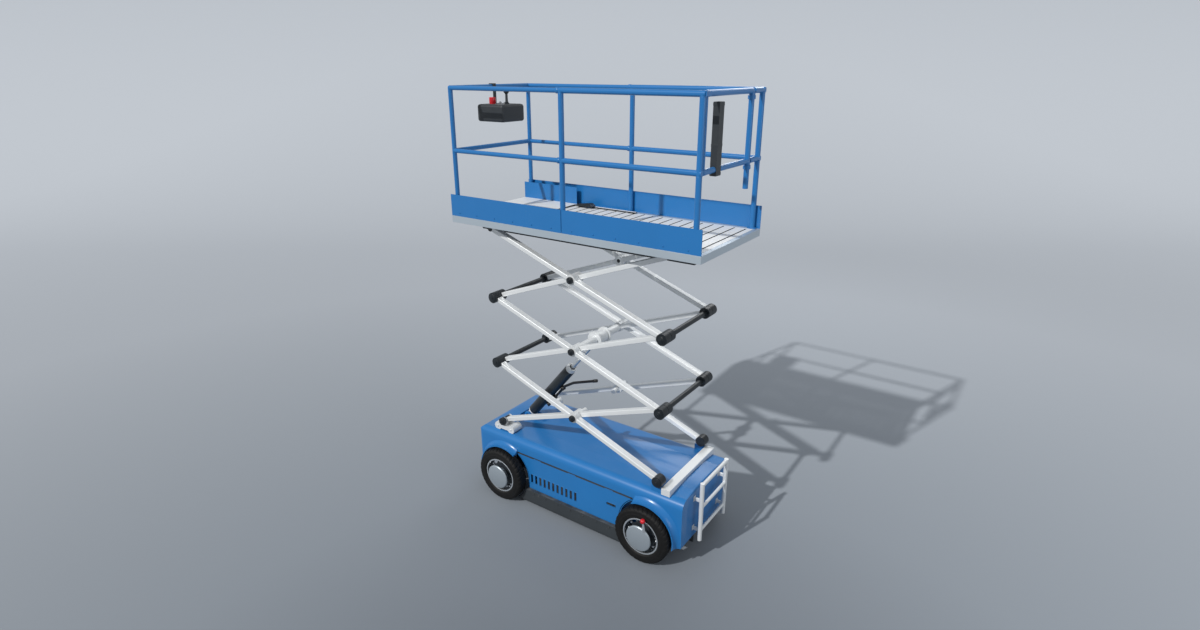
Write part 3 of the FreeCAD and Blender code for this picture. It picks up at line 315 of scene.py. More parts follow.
def ring_lip(mesh, centre, half, wide, proud, y_side, y_face):
    """Raised lip round an upright slot: a closed band that stands off the panel."""
    steps, corner = 32, 0.003
    rings = []
    for grow, height in ((0.0, 0.0), (0.0, proud), (wide * 0.55, proud), (wide, 0.0)):
        loop = []
        for k in range(steps):
            turn = math.tau * k / steps
            bend = corner + grow
            x = math.copysign(half[0] + grow - bend, math.cos(turn)) + bend * math.cos(turn)
            z = math.copysign(half[1] + grow - bend, math.sin(turn)) + bend * math.sin(turn)
            loop.append(mesh.verts.new((centre[0] + x, y_side * (y_face + height), centre[1] + z)))
        rings.append(loop)
    for inner, outer in zip(rings, rings[1:]):
        for k in range(steps):
            n = (k + 1) % steps
            mesh.faces.new((inner[k], inner[n], outer[n], outer[k]))

def block(mesh, low, high):
    """Box between two corners."""
    size = [b - a for a, b in zip(low, high)]
    middle = [(a + b) / 2 for a, b in zip(low, high)]
    place = Matrix.Translation(middle) @ Matrix.Diagonal((*size, 1))
    bmesh.ops.create_cube(mesh, size=1.0, matrix=place)


def on_circle(radius, k, steps, height=0.0):
    """Point k of a circle round the local Z axis."""
    turn = math.tau * k / steps
    return Vector((radius * math.cos(turn), radius * math.sin(turn), height))


def turned(mesh, profile, place, steps=48, cap=True):
    """Turned form: (radius, height) pairs swept round the local Z axis, then placed."""
    loops = []
    for radius, height in profile:
        count = steps if radius > 1e-6 else 1
        loops.append([mesh.verts.new(place @ on_circle(radius, k, steps, height)) for k in range(count)])
    for a, b in zip(loops, loops[1:]):
        for k in range(steps):
            corners = [a[k % len(a)], a[(k + 1) % len(a)], b[(k + 1) % len(b)], b[k % len(b)]]
            unique = list(dict.fromkeys(corners))
            if len(unique) > 2:
                mesh.faces.new(unique)
    if cap:
        for loop in (loops[0], loops[-1]):
            if len(loop) > 2:
                mesh.faces.new(loop)


def facing_way(place, direction):
    """Placement whose local Z points along direction."""
    turn = Vector(direction).to_track_quat("Z", "Y").to_matrix().to_4x4()
    return Matrix.Translation(place) @ turn


def hex_bolt(mesh, place, direction, size):
    """Washer and hexagon head for a thread of that diameter, seated at place."""
    at = facing_way(place, direction)
    washer_top, head_top = size * 0.2, size * 0.85
    turned(mesh, [(size * 1.05, 0), (size * 1.05, size * 0.16), (size * 0.95, washer_top)], at, 24)
    turned(mesh, [(size * 0.92, washer_top), (size * 0.92, size * 0.72), (size * 0.76, head_top)], at, 6)


moulded_grain, given, gives = new_group(
    "Moulded grain", ("Colour", "Color", (0.02, 0.02, 0.02, 1)), ("Grain", "Float", 700.0),
    ("Dust", "Float", 0.1), ("Gloss", "Float", 0.5))
spot = add(moulded_grain, "TexCoord", {}).outputs["Object"]
pebble = add(moulded_grain, "TexVoronoi", {"Vector": spot, "Scale": given["Grain"]}).outputs["Distance"]
settled = maths(moulded_grain, "MULTIPLY", blot(moulded_grain, spot, 14.0, 6.0, 0.45, 0.75), given["Dust"])
sheen = maths(moulded_grain, "ADD", given["Gloss"], maths(moulded_grain, "MULTIPLY", pebble, 0.12))
put_out(moulded_grain, gives, mixed(moulded_grain, settled, given["Colour"], (0.30, 0.29, 0.27, 1)),
        maths(moulded_grain, "ADD", sheen, maths(moulded_grain, "MULTIPLY", settled, 0.4)), pebble)
black_plastic = finish("Black_moulding", moulded_grain,
                       {"Colour": (0.020, 0.025, 0.030, 1), "Grain": 900.0, "Dust": 0.02, "Gloss": 0.42},
                       (0.2, 0.0004))
bolt_zinc = finish("Zinc_plate", moulded_grain,
                   {"Colour": (0.40, 0.41, 0.42, 1), "Grain": 300.0, "Dust": 0.1, "Gloss": 0.3},
                   (0.05, 0.0003), Metallic=0.9)
for side, name in ((-1, "left"), (1, "right")):
    dress("door_" + name, blue_paint, edge=0.0012)
    lips = bmesh.new()
    for x in louvre_x:
        ring_lip(lips, (x, louvre_z), louvre_half, lip_width, louvre_proud, side, side_y)
    ring_lip(lips, latch_place, latch_half, lip_width, latch_proud, side, side_y)
    piece("Louvre_lips_" + name, lips, "door_" + name, blue_paint)
    hinge = bmesh.new()
    strip_place = facing_way((strip_start, side * strip_y, strip_z), (1, 0, 0))
    turned(hinge, [(strip_radius, 0.0), (strip_radius, strip_length)], strip_place, 12)
    piece("Hinge_strip_" + name, hinge, "door_" + name, black_plastic)
    seal = bmesh.new()
    block(seal, (-0.676, side * 0.4546, 0.5350), (0.676, side * 0.4566, 0.5450))
    piece("Weather_strip_" + name, seal, "chassis", black_plastic, edge=0.0006)
    latch = bmesh.new()
    x, z = latch_place
    block(latch, (x - 0.046, side * 0.4545, z - 0.0115), (x + 0.020, side * 0.449, z + 0.0115))
    block(latch, (x + 0.026, side * 0.4535, z - 0.0115), (x + 0.046, side * 0.445, z + 0.0115))
    block(latch, (x - 0.048, side * 0.446, z - 0.0125), (x + 0.048, side * 0.4385, z + 0.0125))
    piece("Latch_" + name, latch, "door_" + name, black_plastic, edge=0.001)

# Chassis frame, axles and side guards: welded rails, floor pan, wheel carriers and folded drop
# guards in a matt charcoal coat. A row of bolts holds each guard to the pan.
charcoal = finish("Charcoal_coat", paint_film,
                  {"Colour": (0.030, 0.036, 0.041, 1), "Fade": 0.15, "Dust": 0.22, "Scuffs": 0.4,
                   "Gloss": 0.46},
                  (0.18, 0.0008))
for name in ("chassis_frame", "rear_axle", "front_axle", "knuckle_left", "knuckle_right", "hydraulic_unit",
             "pothole_guards"):
    dress(name, charcoal, edge=0.0015)
bolt_first, bolt_pitch, bolt_count = -0.45, 0.15, 7
guard_y, guard_bolt_z = 0.490, 0.152
guard_bolts = bmesh.new()
for side in (-1, 1):
    for k in range(bolt_count):
        hex_bolt(guard_bolts, (bolt_first + k * bolt_pitch, side * guard_y, guard_bolt_z), (0, side, 0), 0.008)
piece("Guard_bolts", guard_bolts, "chassis", charcoal)

# Batteries and hydraulic unit: three black moulded cases behind the left door, with lids, screw
# caps and lead terminals, and behind the right door a steel tank, a valve block and a pump motor.
battery_case = finish("Battery_case", moulded_grain,
                      {"Colour": (0.03, 0.03, 0.033, 1), "Grain": 500.0, "Dust": 0.25, "Gloss": 0.5},
                      (0.2, 0.0005))
battery_x = (-0.450, -0.140, 0.170)
lid_low, lid_step, lid_top = 0.436, 0.446, 0.4675
cap_pitch, caps_each = 0.042, 6
dress("battery_block", battery_case, edge=0.003)
cases = bmesh.new()
caps = bmesh.new()
for x in battery_x:
    block(cases, (x - 0.003, -0.413, lid_low), (x + 0.303, -0.229, lid_step))
    block(cases, (x + 0.002, -0.408, lid_step), (x + 0.298, -0.234, lid_top))
    for k in range(caps_each):
        cap_place = facing_way((x + 0.045 + k * cap_pitch, -0.375 + 0.11 * (k % 2), lid_top), (0, 0, 1))
        turned(caps, [(0.0125, 0), (0.0125, 0.006), (0.010, 0.008), (0.0, 0.008)], cap_place, 20)
    for dx in (0.03, 0.27):
        hex_bolt(caps, (x + dx, -0.321, lid_top), (0, 0, 1), 0.007)
piece("Battery_lids", cases, "chassis", battery_case, edge=0.002)
piece("Battery_caps", caps, "chassis", bolt_zinc)
tank_y, tank_top, motor_end, motor_z = 0.320, 0.432, 0.250, 0.302
unit_top = bmesh.new()
turned(unit_top, [(0.034, 0), (0.034, 0.012), (0.030, 0.020), (0.030, 0.034), (0.027, 0.037), (0.0, 0.037)],
       facing_way((-0.36, tank_y, tank_top), (0, 0, 1)), 32)
turned(unit_top, [(0.072, 0), (0.072, 0.006), (0.060, 0.016), (0.0, 0.016)],
       facing_way((motor_end, tank_y, motor_z), (1, 0, 0)), 48)
for angle in range(0, 360, 90):
    turn = math.radians(angle + 45)
    bolt_place = (0.256, tank_y + 0.063 * math.cos(turn), motor_z + 0.063 * math.sin(turn))
    hex_bolt(unit_top, bolt_place, (1, 0, 0), 0.006)
for x in (-0.052, -0.040, -0.028):
    turned(unit_top, [(0.005, 0), (0.005, 0.016), (0.0035, 0.018), (0.0, 0.018)],
           facing_way((x, 0.335, 0.372), (0, 0, 1)), 16)
piece("Hydraulic_fittings", unit_top, "chassis", bolt_zinc)

# Light grey steel: scissor arms, arm brackets, the rear cross-beam and the ladder, in a pale satin
# metallic coat. The arm tubes are welded into round bosses with a rippled bead at each corner.


bead_sides, bead_pitch = 8, 0.0035


def bead(mesh, a, b, radius):
    """Weld bead between two points: a slim round rope with the scallops of its puddles."""
    length = (b - a).length
    rows = max(4, int(length / bead_pitch) * 2)
    puddles = [(radius * (0.82 + 0.2 * (k % 2)), length * k / rows) for k in range(rows + 1)]
    turned(mesh, puddles, facing_way(a, b - a), bead_sides)


def bead_ring(mesh, place, ring, radius, count):
    """Weld bead round a bar, in the plane of the placement."""
    loops = []
    for k in range(count * 2):
        out = on_circle(1.0, k, count * 2)
        thick = radius * (0.85 + 0.18 * (k % 2))
        loop = []
        for j in range(bead_sides):
            turn = math.tau * j / bead_sides
            rim = out * (ring + thick * math.cos(turn)) + Vector((0, 0, thick * math.sin(turn)))
            loop.append(mesh.verts.new(place @ rim))
        loops.append(loop)
    for a, b in zip(loops, loops[1:] + loops[:1]):
        for j in range(bead_sides):
            n = (j + 1) % bead_sides
            mesh.faces.new((a[j], a[n], b[n], b[j]))


light_steel = finish("Pale_grey_coat", paint_film,
                     {"Colour": (0.74, 0.76, 0.77, 1), "Fade": 0.05, "Dust": 0.03, "Scuffs": 0.15,
                      "Gloss": 0.40},
                     (0.10, 0.0006), Metallic=0.25)
pivot_x, right_x, mid_x = -0.900, 0.908908, 0.004454
lowest_z, level_rise, half_rise = 0.788, 0.658389, 0.329194
level_z = [lowest_z + k * level_rise for k in range(4)]
slope = math.radians(20)
boss_reach, tube_corner, seam_inset = 0.0418, 0.0220, 0.002
seam_ends = [(side, u, v) for side in (-1, 1) for u in (-1, 1) for v in (-1, 1)]
for k in (1, 2, 3):
    for pair, y_low, y_high, lean in (("inner", 0.305, 0.365, 1), ("outer", 0.371, 0.431, -1)):
        dress("%s_arms_%d" % (pair, k), light_steel, edge=0.001)
        seams = bmesh.new()
        way = Vector((math.cos(slope), 0, lean * math.sin(slope)))
        lift = Vector((-lean * math.sin(slope), 0, math.cos(slope)))
        middle = Vector((mid_x, 0, level_z[k - 1] + half_rise))
        for side, u, v in seam_ends:
            corner = middle + way * (u * boss_reach) + lift * (v * tube_corner)
            near = corner + Vector((0, side * (y_low + seam_inset), 0))
            bead(seams, near, corner + Vector((0, side * (y_high - seam_inset), 0)), 0.0035)
        piece("Arm_welds_%s_%d" % (pair, k), seams, "%s_pair_%d" % (pair, k), light_steel)
for name in ("pivot_brackets", "cross_beam"):
    dress(name, light_steel, edge=0.002)
dress("ladder", light_steel, edge=0.001)
dress("roller_tracks", blue_paint, edge=0.001)
bracket_face, bracket_bolt_z = 0.398, 0.716
bolts = bmesh.new()
for side in (-1, 1):
    for x in (-0.974, -0.804):
        hex_bolt(bolts, (x, side * bracket_face, bracket_bolt_z), (0, side, 0), 0.010)
piece("Bracket_bolts", bolts, "chassis", light_steel)
ladder_x, ladder_y = 1.240, 0.237
strap_back, strap_face = 1.1702, 1.1735
ladder_feet = bmesh.new()
ladder_bolts = bmesh.new()
for side in (-1, 1):
    for z in (0.313, 0.613):
        block(ladder_feet, (strap_back, side * ladder_y - 0.018, z - 0.024),
              (strap_face, side * ladder_y + 0.018, z + 0.024))
        for dz in (-0.0185, 0.0185):
            hex_bolt(ladder_bolts, (strap_face, side * ladder_y, z + dz), (1, 0, 0), 0.0045)
    turned(ladder_feet, [(0.0150, 0), (0.0185, 0.002), (0.0185, 0.006)],
           facing_way((ladder_x, side * ladder_y, 0.2072), (0, 0, 1)), 32)
    for z in (0.310, 0.545):
        bead_ring(ladder_feet, facing_way((ladder_x, side * 0.2172, z), (0, 1, 0)), 0.0148, 0.003, 18)
piece("Ladder_feet", ladder_feet, "chassis", light_steel, edge=0.0008)
piece("Ladder_bolts", ladder_bolts, "chassis", light_steel)

# Pins and collars: turned steel at every joint of the arms, in a satin near-black. Each outer end
# is held by a round keeper plate with one bolt in the middle.
dark_steel = finish("Near_black_coat", paint_film,
                    {"Colour": (0.0115, 0.0155, 0.0195, 1), "Fade": 0.10, "Dust": 0.02, "Scuffs": 0.25,
                     "Gloss": 0.36},
                    (0.12, 0.0006), Specular_IOR_Level=0.4)
for k in (1, 2, 3):
    dress("inner_pins_%d" % k, dark_steel, edge=0.0020)
    dress("outer_collars_%d" % k, dark_steel, edge=0.0020)
dress("base_pins", dark_steel, edge=0.0015)
keeper_thick = 0.004
keepers = [
    dict(body="chassis", x=pivot_x, z=level_z[0], y=0.418, r=0.030),
    dict(body="outer_pair_1", x=right_x, z=level_z[0], y=0.449, r=0.040),
    dict(body="inner_pair_1", x=mid_x, z=level_z[0] + half_rise, y=0.452, r=0.022),
    dict(body="inner_pair_2", x=mid_x, z=level_z[1] + half_rise, y=0.452, r=0.022),
    dict(body="inner_pair_3", x=mid_x, z=level_z[2] + half_rise, y=0.452, r=0.022),
    dict(body="outer_pair_1", x=pivot_x, z=level_z[1], y=0.449, r=0.040),
    dict(body="outer_pair_2", x=pivot_x, z=level_z[2], y=0.449, r=0.040),
    dict(body="inner_pair_1", x=right_x, z=level_z[1], y=0.453, r=0.026),
    dict(body="inner_pair_2", x=right_x, z=level_z[2], y=0.453, r=0.026),
]
for k, row in enumerate(keepers):
    plate = bmesh.new()
    for side in (-1, 1):
        at = facing_way((row["x"], side * row["y"], row["z"]), (0, side, 0))
        turned(plate, [(row["r"], 0), (row["r"], 0.0025), (row["r"] - 0.002, keeper_thick)], at, 40)
        hex_bolt(plate, (row["x"], side * (row["y"] + keeper_thick), row["z"]), (0, side, 0), 0.0085)
    piece("Pin_keeper_%d" % (k + 1), plate, row["body"], dark_steel)

# Tyres: solid black rubber pressed on the rims. The wall swells a little next to the rim and carries
# one fine raised ring, and shallow slanted lugs run over both shoulders to a plain middle rib.
rubber_skin, given, gives = new_group(
    "Rubber skin", ("Colour", "Color", (0.012, 0.012, 0.012, 1)), ("Dust", "Float", 0.25),
    ("Gloss", "Float", 0.7))
spot = add(rubber_skin, "TexCoord", {}).outputs["Object"]
bloom = maths(rubber_skin, "MULTIPLY", blot(rubber_skin, spot, 16.0, 8.0, 0.42, 0.75), given["Dust"])
put_out(rubber_skin, gives, mixed(rubber_skin, bloom, given["Colour"], (0.16, 0.155, 0.145, 1)),
        maths(rubber_skin, "ADD", given["Gloss"], maths(rubber_skin, "MULTIPLY", bloom, 0.5)),
        blot(rubber_skin, spot, 420.0, 3.0, 0.3, 0.7))
tyre_rubber = finish("Tyre_rubber", rubber_skin,
                     {"Colour": (0.0035, 0.0035, 0.0038, 1), "Dust": 0.02, "Gloss": 0.66},
                     (0.3, 0.0004), Specular_IOR_Level=0.3)
wheel_x, wheel_y, wheel_z = 0.827, 0.515, 0.270
lug_count, lug_steps, tread_depth = 36, 10, 0.0055
lug_half, lug_ramp, lug_slant = 0.34, 0.06, 0.55
shoulder_r, shoulder_run, rib_half, tyre_half, wall_draw = 0.250, 0.010, 0.0115, 0.060, 0.35
tyre_profile = [(0.1783, -0.0455), (0.1783, -0.0470), (0.1860, -0.0562), (0.1930, -0.0590), (0.2000, -0.0596),
                (0.2060, -0.0588), (0.2120, -0.0588), (0.2135, -0.0597), (0.2165, -0.0597), (0.2180, -0.0588),
                (0.2380, -0.0590), (0.2475, -0.0585), (0.2560, -0.0555), (0.2625, -0.0500), (0.2672, -0.0430),
                (0.2695, -0.0370), (0.2700, -0.0300), (0.2700, -0.0200), (0.2700, -0.0120)]
tyre_profile += [(r, -y) for r, y in reversed(tyre_profile)]
tyre_mesh = bmesh.new()
steps = lug_count * lug_steps
loops = []
for k in range(steps):
    loop = []
    for radius, y in tyre_profile:
        deep = 0.0
        if radius > shoulder_r and abs(y) > rib_half:
            phase = (k / lug_steps + (0.5 if y > 0 else 0.0) + lug_slant * abs(y) / tyre_half) % 1.0
            edge = min(max((abs(phase - 0.5) - lug_half) / lug_ramp, 0.0), 1.0)
            fade = min(max((radius - shoulder_r) / shoulder_run, 0.0), 1.0)
            deep = tread_depth * edge * fade
        shrink = (radius - deep) / radius
        out = on_circle(radius * shrink, k, steps)
        loop.append(tyre_mesh.verts.new((out.x, y * (1 - wall_draw * (1 - shrink)), out.y)))
    loops.append(loop)
for a, b in zip(loops, loops[1:] + loops[:1]):
    for j in range(len(tyre_profile)):
        n = (j + 1) % len(tyre_profile)
        tyre_mesh.faces.new((a[j], a[n], b[n], b[j]))
bmesh.ops.recalc_face_normals(tyre_mesh, faces=tyre_mesh.faces)
tyre_data = bpy.data.meshes.new("Tyre")
tyre_mesh.to_mesh(tyre_data)
tyre_mesh.free()
wheels = [("front_left", -wheel_x, -1), ("front_right", -wheel_x, 1),
          ("rear_left", wheel_x, -1), ("rear_right", wheel_x, 1)]
for name, x, side in wheels:
    made = piece("Tyre_" + name, tyre_data, None, tyre_rubber, angle=34)
    made.location = (x, side * wheel_y, wheel_z)
    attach(made, "wheel_" + name)
    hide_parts("tyre_" + name)
    dress("tyre_" + name, tyre_rubber, edge=0)

# Rims: a bright rolled band with a web set deep in it, coloured near black as painted shade, twelve windows and
# twelve bright nuts, and over the hub a plain flat disc sprayed silver grey. The driven rear wheels also carry
# a short
# lever with a red knob that lets the brake off for towing.
turned_metal, given, gives = new_group(
    "Bright metal", ("Colour", "Color", (0.7, 0.7, 0.7, 1)), ("Streak", "Float", 0.1),
    ("Gloss", "Float", 0.15))
spot = add(turned_metal, "TexCoord", {}).outputs["Object"]
haze = blot(turned_metal, spot, 30.0, 6.0, 0.35, 0.7)
shade = maths(turned_metal, "MULTIPLY_ADD", haze, given["Streak"], 0.92)
put_out(turned_metal, gives, scaled(turned_metal, given["Colour"], shade),
        maths(turned_metal, "ADD", given["Gloss"], maths(turned_metal, "MULTIPLY", haze, given["Streak"])),
        blot(turned_metal, spot, 500.0, 2.0, 0.3, 0.7))
bright_rim = finish("Bright_rim", turned_metal,
                    {"Colour": (0.88, 0.90, 0.92, 1), "Streak": 0.10, "Gloss": 0.16},
                    (0.04, 0.0003), Metallic=0.9)
# Painted shade: the web is coloured near black to stand for the shade deep inside the rim.
web_painted_shade = finish("Web_painted_shade", turned_metal,
                  {"Colour": (0.060, 0.070, 0.082, 1), "Streak": 0.15, "Gloss": 0.30},
                  (0.06, 0.0003), Metallic=0.6)
hub_grey = finish("Hub_silver_grey", paint_film,
                  {"Colour": (0.36, 0.41, 0.455, 1), "Fade": 0.06, "Dust": 0.05, "Scuffs": 0.2, "Gloss": 0.40},
                  (0.1, 0.0005), Metallic=0.5)
red_knob = finish("Red_gloss", moulded_grain,
                  {"Colour": (0.56, 0.010, 0.020, 1), "Grain": 1500.0, "Dust": 0.02, "Gloss": 0.20},
                  (0.03, 0.0002))
rim_steps, nut_count, nut_ring, nut_seat = 96, 12, 0.139, 0.0092
window_ring, window_pitch, window_wide = 3, 8, 5
band_profile = [(0.1777, -0.0480), (0.1777, 0.0478), (0.1771, 0.0494), (0.1756, 0.0502), (0.1662, 0.0502),
                (0.1644, 0.0494), (0.1637, 0.0478), (0.1637, 0.0440), (0.1656, 0.0400), (0.1690, 0.0350),
                (0.1697, 0.0300), (0.1697, -0.0468), (0.1703, -0.0480), (0.1777, -0.0480)]
web_profile = [(0.0330, 0.000), (0.0600, 0.000), (0.0950, 0.002), (0.1210, 0.006), (0.1530, 0.006),
               (0.1698, 0.009)]
disc_profile = [(0.0600, 0.003), (0.0600, 0.0740), (0.1225, 0.0750), (0.1238, 0.0762), (0.1240, 0.0800),
                (0.1232, 0.0822), (0.1165, 0.0892), (0.1152, 0.0898), (0.0, 0.0900)]
lever_steps, lever_thick = 16, 0.0050
lever_line = [(Vector((0.0600, 0.0840, 0.082)), 0.0165), (Vector((0.0585, 0.0860, 0.094)), 0.0160),
              (Vector((0.0525, 0.0862, 0.140)), 0.0125), (Vector((0.0470, 0.0862, 0.186)), 0.0085)]
knob_profile = [(0.0090, -0.0215), (0.0105, -0.0190), (0.0100, -0.0165), (0.0165, -0.0145), (0.0205, -0.0090),
                (0.0226, -0.0010), (0.0216, 0.0080), (0.0175, 0.0155), (0.0105, 0.0207), (0.0, 0.0228)]
for name, x, side in wheels:
    at = facing_way((x, side * wheel_y, wheel_z), (0, side, 0))
    dress("rim_" + name, bright_rim, edge=0.0008)
    band = bmesh.new()
    turned(band, band_profile, at, rim_steps, cap=False)
    bmesh.ops.remove_doubles(band, verts=band.verts, dist=0.00001)
    made = piece("Rim_band_" + name, band, "wheel_" + name, bright_rim)
    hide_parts("rim_" + name)
    web = bmesh.new()
    rings = [[web.verts.new(at @ on_circle(radius, k, rim_steps, height)) for k in range(rim_steps)]
             for radius, height in web_profile]
    for j, (a, b) in enumerate(zip(rings, rings[1:])):
        for k in range(rim_steps):
            n = (k + 1) % rim_steps
            if j != window_ring or k % window_pitch >= window_wide:
                web.faces.new((a[k], b[k], b[n], a[n]))
    made = piece("Rim_web_" + name, web, "wheel_" + name, web_painted_shade)
    skin = made.modifiers.new("Plate", "SOLIDIFY")
    skin.thickness = 0.006
    skin.offset = 0
    soften(made, 0.0012, 30)
    nuts = bmesh.new()
    for k in range(nut_count):
        nut_place = at @ on_circle(nut_ring, k * window_pitch + 6.5, rim_steps, nut_seat)
        hex_bolt(nuts, nut_place, (0, side, 0), 0.009)
    piece("Rim_nuts_" + name, nuts, "wheel_" + name, bright_rim)
    disc = bmesh.new()
    turned(disc, disc_profile, at, rim_steps, cap=False)
    piece("Hub_disc_" + name, disc, "wheel_" + name, hub_grey)
    if x > 0:
        lever = bmesh.new()
        loops = []
        for p, wide in lever_line:
            loop = []
            for k in range(lever_steps):
                turn = math.tau * k / lever_steps
                y = side * (wheel_y + p.y + lever_thick * math.sin(turn))
                loop.append(lever.verts.new((x + p.x + wide * math.cos(turn), y, wheel_z + p.z)))
            loops.append(loop)
        for a, b in zip(loops, loops[1:]):
            for k in range(lever_steps):
                n = (k + 1) % lever_steps
                lever.faces.new((a[k], a[n], b[n], b[k]))
        for end in (loops[0], loops[-1]):
            lever.faces.new(end)
        piece("Brake_lever_" + name, lever, "wheel_" + name, bright_rim)
        knob = bmesh.new()
        turned(knob, knob_profile, facing_way((x + 0.044, side * 0.601, wheel_z + 0.200), (-0.18, 0, 1)), 32)
        piece("Brake_knob_" + name, knob, "wheel_" + name, red_knob)

# Lift cylinder: a black barrel between two pale caps, a ground and chromed rod with a painted eye,
# and a rigid black pipe that runs under the barrel on two bolted clamps.
barrel_black = finish("Barrel_black", paint_film,
                      {"Colour": (0.014, 0.018, 0.021, 1), "Fade": 0.15, "Dust": 0.05, "Scuffs": 0.3,
                       "Gloss": 0.34},
                      (0.12, 0.0005))
chromed_rod = finish("Chromed_rod", turned_metal,
                     {"Colour": (0.74, 0.77, 0.79, 1), "Streak": 0.05, "Gloss": 0.30},
                     (0.03, 0.0002), Metallic=0.85)
pipe_black = finish("Black_pipe", rubber_skin,
                    {"Colour": (0.008, 0.008, 0.009, 1), "Dust": 0.05, "Gloss": 0.42}, (0.15, 0.0003))
dress("cylinder_barrel", barrel_black, edge=0.001)
dress("cylinder_caps", light_steel, edge=0.0015)
dress("cylinder_rod", chromed_rod, edge=0.001)
dress("cylinder_pipe", pipe_black, edge=0)
lean = math.radians(50.43844)
along = Vector((math.cos(lean), 0, math.sin(lean)))
under = Vector((math.sin(lean), 0, -math.cos(lean)))
foot = Vector((-0.880, 0, 0.705))
rod_start, rod_length, gland_reach, foot_cap = 0.5952, 1.388677, 0.8820, 0.0799
rod = bmesh.new()
turned(rod, [(0.0205, rod_start), (0.0225, 0.5975), (0.0225, rod_length - 0.060), (0.0300, rod_length - 0.054),
             (0.0300, rod_length - 0.030)], facing_way(foot, along), 64)
made = piece("Chromed_rod", rod, "lift_rod", chromed_rod)
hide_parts("cylinder_rod")
eye = bmesh.new()
turned(eye, [(0.030, -0.0600), (0.0545, -0.0600), (0.0570, -0.0575), (0.0570, 0.0575), (0.0545, 0.0600),
             (0.030, 0.0600)], facing_way(foot + along * rod_length, (0, 1, 0)), 64)
bead_ring(eye, facing_way(foot + along * (rod_length - 0.0555), along), 0.0262, 0.0035, 20)
piece("Rod_eye", eye, "lift_rod", light_steel)
trim = bmesh.new()
gland = facing_way(foot + along * gland_reach, along)
turned(trim, [(0.0300, 0.0), (0.0300, 0.0040), (0.0280, 0.0060), (0.0240, 0.0065), (0.0231, 0.0050),
              (0.0231, 0.0)], gland, 48, cap=False)
bead_ring(trim, facing_way(foot + along * foot_cap, along), 0.0505, 0.0032, 40)
piece("Rod_wiper", trim, "lift_barrel", pipe_black)
gland_bolts = bmesh.new()
for k in range(6):
    hex_bolt(gland_bolts, gland @ on_circle(0.0400, k + 0.5, 6), along, 0.0052)
for clamp in (0.432, 0.602):
    for side in (-1, 1):
        clamp_place = foot + along * clamp + under * 0.0930 + Vector((0, side * 0.013, 0))
        hex_bolt(gland_bolts, clamp_place, under, 0.0045)
piece("Cylinder_bolts", gland_bolts, "lift_barrel", bolt_zinc)

# Platform frame: a mid-grey welded frame with black channels under it that the top pins turn and
# roll in. The blue toe boards are bolted to its sides and the tube rails stand on welded feet.
grey_steel = finish("Frame_grey_coat", paint_film,
                    {"Colour": (0.47, 0.54, 0.60, 1), "Fade": 0.06, "Dust": 0.05, "Scuffs": 0.2, "Gloss": 0.40},
                    (0.12, 0.0006), Metallic=0.5)
deck_z = level_z[3] + 0.0958
mid_rail_z, top_rail_z = deck_z + 0.576, deck_z + 1.100
post_x, post_y, far_post_y = 1.198, 0.512, 0.508
up = (0, 0, 1)
for name, coat, edge in (
        ("platform_frame", grey_steel, 0.0015), ("under_deck_channels", dark_steel, 0.0015),
        ("toe_boards", blue_paint, 0.0008), ("guard_rails", blue_paint, 0.0022), ("gate", blue_paint, 0.0016),
        ("extension_rails", blue_paint, 0.0016), ("extension_toe_plates", blue_paint, 0.0008),
        ("slide_pads", black_plastic, 0.0005)):
    dress(name, coat, edge=edge)
board_first, board_pitch, board_bolts, board_face = -1.155, 0.210, 12, 0.540
collar_profile = [(0.0194, 0.0), (0.0232, 0.0), (0.0240, 0.0015), (0.0240, 0.0235), (0.0232, 0.025),
                  (0.0200, 0.025)]
fixings = bmesh.new()
rail_seams = bmesh.new()
for side in (-1, 1):
    for k in range(board_bolts):
        board_bolt = (board_first + k * board_pitch, side * board_face, deck_z + 0.030)
        hex_bolt(fixings, board_bolt, (0, side, 0), 0.006)
    for x in (0.0, post_x):
        for dx in (-0.028, 0.028):
            hex_bolt(fixings, (x + dx, side * post_y, deck_z + 0.008), up, 0.005)
        bead_ring(rail_seams, facing_way((x, side * post_y, deck_z + 0.0085), up), 0.0222, 0.0030, 26)
        for z in (mid_rail_z, top_rail_z):
            bead_ring(rail_seams, facing_way((x, side * post_y, z - 0.0225), up), 0.0200, 0.0026, 24)
    for z in (mid_rail_z, top_rail_z):
        turned(rail_seams, collar_profile, facing_way((-0.040, side * post_y, z), (1, 0, 0)), 40, cap=False)
for z in (mid_rail_z, top_rail_z):
    for dz in (-0.040, -0.056):
        hex_bolt(fixings, (post_x + 0.010, 0.338, z + dz), (1, 0, 0), 0.005)
piece("Platform_bolts", fixings, "platform", blue_paint)
piece("Rail_seams", rail_seams, "platform", blue_paint)
corner_profile = [(0.0, -0.0205), (0.0080, -0.0189), (0.0145, -0.0145), (0.0189, -0.0080), (0.0205, 0.0),
                  (0.0189, 0.0080), (0.0145, 0.0145), (0.0080, 0.0189), (0.0, 0.0205)]
corners = bmesh.new()
for side in (-1, 1):
    for z in (mid_rail_z, top_rail_z):
        turned(corners, corner_profile, facing_way((-post_x, side * far_post_y, z), up), 32)
    bead_ring(corners, facing_way((-post_x, side * far_post_y, deck_z + 0.0135), up), 0.0202, 0.0026, 24)
piece("Rail_corners", corners, "extension", blue_paint)
clasp = bmesh.new()
for z in (mid_rail_z, top_rail_z):
    turned(clasp, [(0.0225, 0.0), (0.0238, 0.0015), (0.0238, 0.0385), (0.0225, 0.040)],
           facing_way((post_x, -0.472, z), (0, 1, 0)), 40)
piece("Gate_clasp", clasp, "gate", blue_paint)
